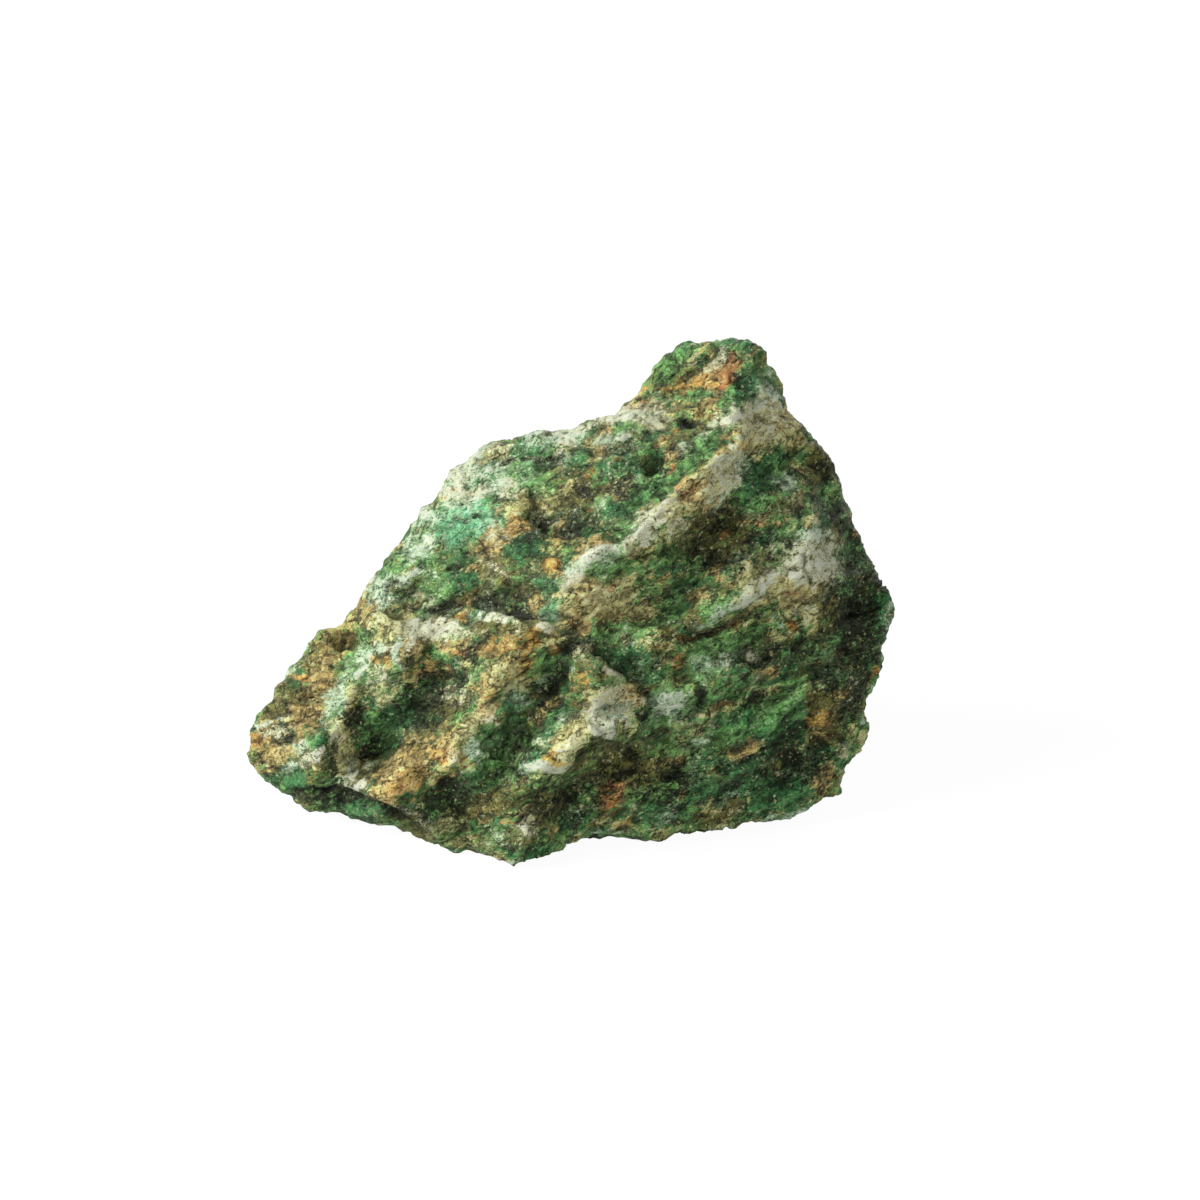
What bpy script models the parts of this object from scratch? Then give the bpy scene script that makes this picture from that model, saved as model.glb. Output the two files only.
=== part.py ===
"""A rough piece of green aventurine: one stone, 80 mm long, that rests on a small flat spot.

Frame: X along the stone's length, Y away from the viewer, +Z up. The origin is on the ground,
under the middle of the stone's box. Run it with: blender --background --python part.py
"""

import math
from typing import NamedTuple

import bmesh
import bpy
import numpy as np
from mathutils import Vector, noise

# Driving dimensions, in metres.
STONE_LENGTH = 0.080
SKIN_SIZE = 0.0007
TRIANGLES = 9300

STONE_COLOUR = (0.138, 0.171, 0.076, 1)

# All the shapes below are in millimetres, and scaled to STONE_LENGTH at the end.
MM = 0.001

# The stone rests where its underside is flattened this far above its lowest point.
FLAT_SPOT_DEPTH = 1.1
# What lies this little above the flat spot is pressed flat with it once the triangles are thinned.
FLAT_SLACK = 0.1

# Corners where the fracture faces of the main block meet, in X, Y, Z.
BLOCK_CORNERS = [
    # foot of the front face, left to right
    (-25, -12, 0),
    (-16, -15, -0.4),
    (3, -16, 0.8),
    (14.5, -18.7, -0.2),
    (21, -15.8, 0.4),
    (28.5, -14, 0),
    (32.6, -11.6, 3),
    # right end, from its foot up to the shoulder
    (36.5, -8.9, 7),
    (38.4, -6.7, 14),
    (38.6, -1.5, 18),
    (38.6, 4, 22),
    (38.6, 5.6, 25),
    (35.6, 8.3, 31),
    (33.2, 12, 36.6),
    (30, 14, 41.2),
    # top edge, right to left
    (21.6, 12.3, 45.4),
    (16.1, 13.4, 44.4),
    (7.7, 14.2, 42.5),
    (-1.2, 11.3, 42.2),
    (-10.6, 11.2, 40.2),
    (-14.4, 9.6, 37.2),
    (-16.6, 8.3, 32.6),
    (-26.6, 2.8, 21.8),
    # crests on the front face
    (21, 5.8, 42.7),
    (16.1, 1.2, 39.8),
    (10.5, -5.1, 36),
    (3.7, -7.3, 33),
    (30, -3.4, 28.8),
    (-22.3, -4.2, 24),
    (-24.1, -17.5, 7.5),
    (-27, -2, 12),
    (0, -18.6, 13.5),
    # back, upper and lower
    (-26, 8, 8),
    (-20, 12, 14),
    (-10, 20, 26),
    (5, 23, 30),
    (18, 25, 34),
    (28, 21, 28),
    (36, 12, 15),
    (-24, 6, 3),
    (-15, 13, 3.2),
    (5, 19, 3.8),
    (22, 18.5, 4.2),
    (32, 8, 3.6),
    # underside, round the flat spot
    (-11, 5, -0.8),
    (4, 12, -0.8),
    (17, 8, -0.8),
    (18, -12, -0.8),
]

# The wing that makes the left end.
WING_CORNERS = [
    (-40.6, -9.2, 6.6),
    (-40.2, -8.2, 9.3),
    (-38.9, -9, 2.9),
    (-35.1, -11.4, 0.3),
    (-37.9, -5.5, 12.4),
    (-36.3, -3.5, 15.6),
    (-31, -0.3, 18),
    (-27.5, 1.5, 21.2),
    (-27.5, -15, -0.3),
    (-20.5, -18.1, -0.5),
    (-24.1, -18.5, 7.5),
    (-29.7, -15.6, 10.5),
    (-14, -18, 9),
    (-12, -10, 16),
    (-12, -14, 0),
    (-30, 5.5, 8),
    (-20, 8, 14),
    (-28, 2, 3.6),
    (-15, 8, 2),
]

# The heel that stands out at the foot of the front face.
HEEL_CORNERS = [
    (-19, -16, -0.4),
    (-12.5, -21, -0.5),
    (-8, -23.7, -0.6),
    (-4.5, -24.6, -0.6),
    (-1.5, -22, -0.4),
    (2.6, -16, 0),
    (-18, -18.5, 8),
    (-14.8, -18.5, 13),
    (-7, -21.5, 9),
    (0, -18.6, 13),
    (-14, -8, 0),
    (0, -8, 0),
    (-8, -8, 16),
]

# The spur at the right end.
SPUR_CORNERS = [
    (42, 1.5, 21.6),
    (41.2, 3.5, 23.8),
    (41.2, -2, 18),
    (39.4, -3.8, 15),
    (38, -5, 11),
    (36, 5, 23.6),
    (34, -6, 20),
    (32, 4, 14),
    (36, 8, 18),
    (30, 0, 22),
]

# The knob that stands up behind the top edge.
KNOB_CORNERS = [
    (25.4, 16.3, 46),
    (25.2, 17.6, 50.2),
    (22.8, 18.9, 51.5),
    (16.4, 20.2, 50.2),
    (13.4, 20.2, 48.6),
    (11.4, 18.9, 45),
    (7.2, 16.5, 40.8),
    (22.6, 12.8, 45.6),
    (28.8, 14, 40),
    (15, 24.5, 43),
    (22, 24, 42),
    (4, 20, 34),
    (27, 20, 32),
    (14, 10, 34),
]

SIDE_LUMPS = {
    "wing": WING_CORNERS,
    "heel": HEEL_CORNERS,
    "spur": SPUR_CORNERS,
    "knob": KNOB_CORNERS,
}


class Crest(NamedTuple):
    """A crest on one side of the stone, or a groove where its height is negative.

    Its path runs from left to right in the view of that side, in millimetres across from the
    middle and up from the foot. It fades out this far above the path and this far below it.
    """

    path: list
    height: float
    above: float
    below: float


class Side(NamedTuple):
    """A side as it is looked at: from this angle round and above, with its foot at this point."""

    turn: float
    tilt: float
    foot: tuple
    crests: dict


FRONT_CRESTS = {
    "main crest": Crest(
        [(-1, 33.5), (3.5, 37.5), (10.5, 41), (16, 47), (21, 52), (23.5, 57.5)], 1.2, 6, 3
    ),
    "valley under the main crest": Crest(
        [(8, 30), (15, 36), (19, 41), (21.5, 48.5)], -2.6, 4.5, 6
    ),
    "right crest": Crest(
        [(10, 27.5), (15, 30), (21.5, 33.5), (29, 36), (31, 43)], 1.8, 5, 2.5
    ),
    "terrace step": Crest(
        [(0.5, 27.5), (6, 26), (10.5, 22), (12, 17.5)], -1.8, 1.2, 4
    ),
    "middle rib": Crest(
        [(-4.5, 11), (-0.5, 14.5), (3.5, 18), (4.5, 21.5), (1.5, 26.5)], 2.4, 4, 2.5
    ),
    "hollow under the middle rib": Crest(
        [(0.5, 9), (3.5, 12), (7, 15.5)], -1.6, 2.5, 5
    ),
    "valley between the ribs": Crest(
        [(-8.5, 12), (-7.5, 15), (-5, 20), (-1, 25.5)], -2.4, 3.5, 3.5
    ),
    "left rib": Crest(
        [(-24, 8), (-21, 10.5), (-14, 15), (-9.5, 21.5), (-5.5, 28)], 2, 4, 3
    ),
    "left hollow": Crest(
        [(-24.5, 14), (-21, 17.5), (-16, 22.5)], -3.6, 5.5, 5.5
    ),
    "cleft above the shelf": Crest(
        [(-22.5, 32.5), (-16, 31.5), (-8.5, 32.5), (-5, 33.5)], -1.6, 3.5, 1
    ),
    "shelf lip": Crest(
        [(-23, 30.5), (-16, 30), (-6, 30.5), (-0.5, 30)], 1, 1, 3
    ),
    "left band": Crest(
        [(-29, 15.5), (-27, 22.5), (-24.5, 30), (-21.5, 36.5)], 1.5, 3, 3
    ),
    "brown face": Crest(
        [(-33.5, 15.5), (-32, 20), (-28, 27.5)], -1.3, 3, 4
    ),
    "upper lower-right rib": Crest(
        [(16.5, 21.5), (26, 25), (34.5, 28.5)], 1.2, 2.5, 2
    ),
    "lower lower-right rib": Crest(
        [(15, 9), (20.5, 14.5), (27, 19.5), (35, 21.5)], 1.4, 3, 2.5
    ),
    "lower right hollow": Crest(
        [(27, 12), (30, 15.5)], -1.6, 4, 4
    ),
    "right end hollow": Crest(
        [(34.5, 27), (37, 32)], -1.4, 3, 3
    ),
    "shoulder rib": Crest(
        [(28.5, 45.5), (30, 47), (32, 42.5)], 0.8, 1.5, 3
    ),
    "brown hollow at the foot": Crest(
        [(-17.5, 9), (-11, 7.5)], -1.5, 2.5, 3
    ),
}

# The back isn't in the photograph: its crests are made up, in the way of those on the front.
BACK_CRESTS = {
    "long back crest": Crest(
        [(-30, 12), (-16, 20), (-7, 28)], 1.8, 7, 4
    ),
    "back hollow": Crest(
        [(-14, 9), (0, 12), (12, 19)], -2.4, 6, 5
    ),
    "back step": Crest(
        [(-32, 24), (-24, 33), (-14, 43)], -1.6, 4, 1.5
    ),
    "low back rib": Crest(
        [(6, 5), (16, 8), (28, 12)], 1.4, 4, 3
    ),
    "upper back rib": Crest(
        [(4, 28), (10, 33), (16, 34)], 1.2, 3, 4
    ),
}

FRONT = Side(turn=0, tilt=math.radians(30), foot=(0, -25, 0), crests=FRONT_CRESTS)
BACK = Side(turn=math.radians(180), tilt=math.radians(15), foot=(0, 0, 0), crests=BACK_CRESTS)

# The rock's foliation: it splits more easily along these planes, so its bumps lie flat in them.
FOLIATION_NORMAL = Vector((-0.55, 0.1, 0.83)).normalized()
FOLIATION_STRETCH = 2.2

# The fracture surface: wide swells, lumps on them and flat chips, by their size and height.
SWELL_SIZE = 16
SWELL_HEIGHT = 0.55
LUMP_SIZE = 7
LUMP_HEIGHT = 0.4
CHIP_SIZE = 9
CHIP_HEIGHT = 0.22
# The lumps are taken from another place in the noise, so that they don't follow the swells.
LUMP_START = Vector((31, 7, 2))


def clear_scene():
    for old in list(bpy.data.objects):
        bpy.data.objects.remove(old)


def collection_named(name):
    made = bpy.data.collections.new(name)
    bpy.context.scene.collection.children.link(made)
    return made


def lump(name, corners, collection):
    """A convex lump of rock: the hull of its corners."""
    bm = bmesh.new()
    for corner in corners:
        bm.verts.new(Vector(corner) * MM)
    hull = bmesh.ops.convex_hull(bm, input=bm.verts)
    unused = set(hull["geom_interior"]) | set(hull["geom_unused"])
    inner = [v for v in unused if isinstance(v, bmesh.types.BMVert)]
    bmesh.ops.delete(bm, geom=inner, context="VERTS")
    bmesh.ops.recalc_face_normals(bm, faces=bm.faces)
    mesh = bpy.data.meshes.new(name)
    bm.to_mesh(mesh)
    bm.free()
    made = bpy.data.objects.new(name, mesh)
    collection.objects.link(made)
    return made


def bake_modifiers(obj):
    """Gives the object the mesh that its modifiers make, and takes the modifiers off."""
    graph = bpy.context.evaluated_depsgraph_get()
    old = obj.data
    obj.data = bpy.data.meshes.new_from_object(obj.evaluated_get(graph))
    obj.modifiers.clear()
    bpy.data.meshes.remove(old)


def join_lumps(stone, others):
    """One closed skin over all the lumps."""
    for other in others:
        join = stone.modifiers.new(f"Join {other.name}", "BOOLEAN")
        join.operation = "UNION"
        join.object = other
    skin = stone.modifiers.new("Skin", "REMESH")
    skin.mode = "VOXEL"
    skin.voxel_size = SKIN_SIZE
    round_off = stone.modifiers.new("Round the edges", "SMOOTH")
    round_off.factor = 0.5
    round_off.iterations = 3
    bake_modifiers(stone)


def vertex_arrays(mesh):
    """The mesh's points in millimetres and its normals, as arrays."""
    points = np.empty(len(mesh.vertices) * 3, np.float32)
    mesh.vertices.foreach_get("co", points)
    normals = np.empty(len(mesh.vertices) * 3, np.float32)
    mesh.vertex_normals.foreach_get("vector", normals)
    return points.reshape(-1, 3).astype(float) / MM, normals.reshape(-1, 3).astype(float)


def set_points(mesh, points):
    mesh.vertices.foreach_set("co", (points * MM).astype(np.float32).ravel())
    mesh.update()


def smooth_step(x):
    x = np.clip(x, 0, 1)
    return x * x * (3 - 2 * x)


def offset_from_path(places, path):
    """How far each place lies from the path, and whether it lies above it."""
    nearest = np.full(len(places), np.inf)
    above = np.zeros(len(places), bool)
    for start, end in zip(np.array(path[:-1], float), np.array(path[1:], float)):
        along = end - start
        share = np.clip((places - start) @ along / (along @ along), 0, 1)
        gap = places - (start + share[:, None] * along)
        distance = np.hypot(gap[:, 0], gap[:, 1])
        closer = distance < nearest
        nearest[closer] = distance[closer]
        side = along[0] * gap[:, 1] - along[1] * gap[:, 0]
        above[closer] = side[closer] > 0
    return nearest, above


def raise_crests(mesh, side):
    """Moves one side of the stone towards its viewer or away from them, crest by crest."""
    flat = math.cos(side.tilt)
    rise_of_view = math.sin(side.tilt)
    right = np.array((math.cos(side.turn), math.sin(side.turn), 0))
    away = np.array((-math.sin(side.turn), math.cos(side.turn), 0))
    towards_viewer = -away * flat + np.array((0, 0, rise_of_view))
    view_up = away * rise_of_view + np.array((0, 0, flat))

    points, normals = vertex_arrays(mesh)
    from_foot = points - side.foot
    places = np.column_stack((from_foot @ right, from_foot @ view_up))
    facing = smooth_step(normals @ towards_viewer / 0.35)
    rise = np.zeros(len(points))
    for crest in side.crests.values():
        distance, above = offset_from_path(places, crest.path)
        width = np.where(above, crest.above, crest.below)
        share = 1 - distance / width
        if crest.height > 0:
            rise += crest.height * np.clip(share, 0, 1)
        else:
            rise += crest.height * smooth_step(share)
    set_points(mesh, points + (rise * facing)[:, None] * towards_viewer)


def foliated(point):
    """The point in a space where the rock's grain is round: it is squeezed along the foliation."""
    along_normal = point.dot(FOLIATION_NORMAL)
    return point + FOLIATION_NORMAL * along_normal * (FOLIATION_STRETCH - 1)


def chips(place, size):
    """A faceted relief: each cell of the rock has a flat face of its own, tilted its own way.

    A cell's face fades out as the place nears the fourth nearest cell, so the relief has no gaps.
    """
    distances, centres = noise.voronoi(place / size)
    height = 0
    weights = 0
    for distance, centre in zip(distances[:3], centres[:3]):
        weight = (distances[3] - distance) ** 3
        tilt = noise.cell_vector(centre * 7.31)
        height += weight * (place / size - centre).dot(tilt) * size
        weights += weight
    return height / max(weights, 1e-9)


def roughness_at(point):
    """How far the fracture surface stands out at this point."""
    place = foliated(point)
    swell = noise.fractal(place / SWELL_SIZE, 1.0, 2.0, 2)
    lumps = noise.fractal(place / LUMP_SIZE + LUMP_START, 1.0, 2.0, 2)
    return SWELL_HEIGHT * swell + LUMP_HEIGHT * lumps + CHIP_HEIGHT * chips(place, CHIP_SIZE)


def roughen(mesh):
    """Breaks up the smooth lumps into the chips and steps of a fracture surface."""
    points, normals = vertex_arrays(mesh)
    heights = np.array([roughness_at(Vector(point)) for point in points])
    set_points(mesh, points + normals * heights[:, None])


def thin_out(stone):
    """Leaves the triangles where the shape needs them."""
    thin = stone.modifiers.new("Thin out", "DECIMATE")
    triangles = sum(len(face.vertices) - 2 for face in stone.data.polygons)
    thin.ratio = TRIANGLES / triangles
    stone.modifiers.new("Split the quads", "TRIANGULATE")
    bake_modifiers(stone)


def lowest(mesh):
    points, _ = vertex_arrays(mesh)
    return points[:, 2].min()


def press_flat(mesh, ground, slack):
    """Flattens the underside at the ground, with all that lies less than the slack above it."""
    points, _ = vertex_arrays(mesh)
    heights = points[:, 2]
    points[:, 2] = np.where(heights < ground + slack, ground, heights)
    set_points(mesh, points)


def scale_and_centre(mesh):
    """Makes the stone STONE_LENGTH long, with the origin under the middle of its box."""
    points, _ = vertex_arrays(mesh)
    points *= STONE_LENGTH / MM / np.ptp(points[:, 0])
    low, high = points.min(axis=0), points.max(axis=0)
    points -= ((low[0] + high[0]) / 2, (low[1] + high[1]) / 2, low[2])
    set_points(mesh, points)


def quartzite_material():
    """Green quartzite, rough where it broke."""
    made = bpy.data.materials.new("Green aventurine quartzite")
    made.use_nodes = True
    surface = made.node_tree.nodes["Principled BSDF"]
    surface.inputs["Base Color"].default_value = STONE_COLOUR
    surface.inputs["Roughness"].default_value = 0.75
    return made


def main():
    clear_scene()
    parts = collection_named("green_aventurine")
    helpers = collection_named("helpers")
    stone = lump("stone", BLOCK_CORNERS, parts)
    others = [lump(name, corners, helpers) for name, corners in SIDE_LUMPS.items()]
    for other in others:
        other.hide_render = True
        other.display_type = "WIRE"
    join_lumps(stone, others)
    raise_crests(stone.data, FRONT)
    raise_crests(stone.data, BACK)
    roughen(stone.data)
    ground = lowest(stone.data) + FLAT_SPOT_DEPTH
    press_flat(stone.data, ground, 0)
    thin_out(stone)
    press_flat(stone.data, ground, FLAT_SLACK)
    scale_and_centre(stone.data)
    stone.data.materials.append(quartzite_material())


main()
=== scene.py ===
import math
from typing import NamedTuple

import bmesh
import bpy
import numpy as np
from bpy.props import FloatProperty, FloatVectorProperty, IntProperty, PointerProperty
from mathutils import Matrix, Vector, noise


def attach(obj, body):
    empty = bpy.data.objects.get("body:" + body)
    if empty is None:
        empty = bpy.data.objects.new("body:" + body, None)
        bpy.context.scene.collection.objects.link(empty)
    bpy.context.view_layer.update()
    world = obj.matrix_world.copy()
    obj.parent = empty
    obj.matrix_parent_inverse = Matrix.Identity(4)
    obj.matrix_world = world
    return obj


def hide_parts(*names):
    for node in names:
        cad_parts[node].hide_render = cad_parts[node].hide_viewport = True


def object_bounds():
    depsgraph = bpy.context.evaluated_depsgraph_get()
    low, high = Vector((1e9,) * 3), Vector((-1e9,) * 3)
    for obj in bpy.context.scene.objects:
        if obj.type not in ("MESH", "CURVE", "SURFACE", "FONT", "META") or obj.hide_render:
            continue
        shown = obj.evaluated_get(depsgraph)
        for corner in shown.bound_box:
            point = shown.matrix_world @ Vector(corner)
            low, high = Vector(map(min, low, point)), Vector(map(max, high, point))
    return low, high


bl_info = {
    "name": "Rough Green Aventurine",
    "version": (1, 0, 0),
    "blender": (4, 5, 0),
    "location": "View3D > Sidebar > Aventurine",
    "description": "Gives the packed solid of a rough green aventurine its fracture surface and its minerals",
    "category": "Add Mesh",
}

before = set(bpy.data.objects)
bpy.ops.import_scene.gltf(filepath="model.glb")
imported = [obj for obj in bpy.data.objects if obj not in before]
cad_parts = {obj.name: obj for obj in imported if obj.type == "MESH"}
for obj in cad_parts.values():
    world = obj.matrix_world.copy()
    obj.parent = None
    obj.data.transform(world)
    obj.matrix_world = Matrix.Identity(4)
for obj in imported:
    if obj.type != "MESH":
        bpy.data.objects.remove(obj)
CAD_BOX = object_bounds()

NODE = "stone"
BODY = "root"
MM = 0.001
TRIANGLE_LIMIT = 200000

# The photograph looks at the stone's front from this far above the horizon and this far away.
VIEW_TILT = math.radians(30)
VIEW_DISTANCE = 0.5483
VIEW_TARGET = Vector((0.00347, -0.005, 0.0263))
VIEW_LENS = 135
VIEW_BACK = Vector((0, -math.cos(VIEW_TILT), math.sin(VIEW_TILT)))
VIEW_UP = Vector((0, math.sin(VIEW_TILT), math.cos(VIEW_TILT)))
VIEW_RIGHT = Vector((1, 0, 0))
VIEW_EYE = VIEW_TARGET + VIEW_BACK * VIEW_DISTANCE

# The soft boxes stand this far from the stone, and the table and the room are this bright.
BOX_SIZE = 0.6
BOX_DISTANCE = 0.9
TABLE_GLOW = 1.25

# The rock splits along planes with this normal, so its grain and its ledges lie flat in them.
FOLIATION_NORMAL = Vector((-0.55, 0.1, 0.83)).normalized()
FOLIATION_STRETCH = 1.6


class Mineral(NamedTuple):
    """One of the minerals that the rock is made of.

    It fills about this share of the surface, in patches of this size that stand out by its rise, in
    millimetres.
    """

    share: float
    size: float
    rise: float = 0


class Patch(NamedTuple):
    """A patch of one mineral on the front, in millimetres across and up from the view's middle.

    It reaches this far along and across its own length, which is turned by this many degrees, and
    this share of its grains is that mineral. It may stand out further than its mineral does.
    """

    across: float
    up: float
    long: float
    wide: float
    turn: float = 0
    share: float = 0.8
    rise: float = 0


class Edge(NamedTuple):
    """A crest on the front, or a groove where its height is negative, in millimetres in the view.

    It fades out this far to the left of its path, as one walks along it, and this far to the right.
    """

    path: list
    height: float
    left: float
    right: float


# The colours of these minerals are in AventurineColourSettings. The first is mixed under all others.
MINERALS = {
    "leaf": Mineral(0.2, 5),
    "emerald": Mineral(0.17, 4),
    "olive": Mineral(0.17, 5),
    "dark": Mineral(0.1, 3.5, -0.15),
    "tan": Mineral(0.1, 4),
    "khaki": Mineral(0.1, 4),
    "ochre": Mineral(0.04, 3),
    "rust": Mineral(0.015, 2.5),
    "mint": Mineral(0.08, 4, 0.05),
    "glass": Mineral(0.02, 4, 0.05),
    "cream": Mineral(0.06, 3, 0.08),
    "grey": Mineral(0.04, 3),
}
# How much clear or milky quartz each of these holds: it is where thin pale blades with a painted glint show.
CLEAR_QUARTZ = {"cream": 1, "mint": 1, "glass": 1, "grey": 0.7}

# How strongly the rock's minerals vary from place to place, and how broken the front's patches are.
UNEVENNESS = 3.5
MOTTLING = 0.6
NOISE_SEED = 1

# Widths of the rock's forms and patterns, in millimetres. A patch's outline is bent by up to
# WARP_REACH over each WARP_SIZE, and the grain by up to SWIRL_SIZE.
LUMP_SIZE = 3.5
CHIP_SIZE = 1.9
SMALL_CHIP_SIZE = 0.95
LEDGE_SPACING = 1.6
WARP_SIZE = 2.2
WARP_REACH = 0.9
MOTTLE_SIZE = 1.3
SWIRL_SIZE = 1.6
DRIFT_SIZE = 0.6
CRUMB_SIZE = 0.6
BROAD_SIZE = 2.4
CRACKED_SIZE = 1.7
BLADE_SIZE = 0.9

# Chips of the smaller size are this much steeper.
SMALL_CHIP_STEEPNESS = 1.2
# The relief fades out over this height above the flat spot, in millimetres.
FLAT_FADE = 0.6
# A hollow's depth is measured from the surface after this many rounds of smoothing.
HOLLOW_STEPS = 12
# The darkest and the lightest that a mineral's colour is multiplied by, and the lightest grain.
DARKEST = 0.06
LIGHTEST = 1.85
WHITEST_GRAIN = (0.54, 0.56, 0.46)

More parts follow.
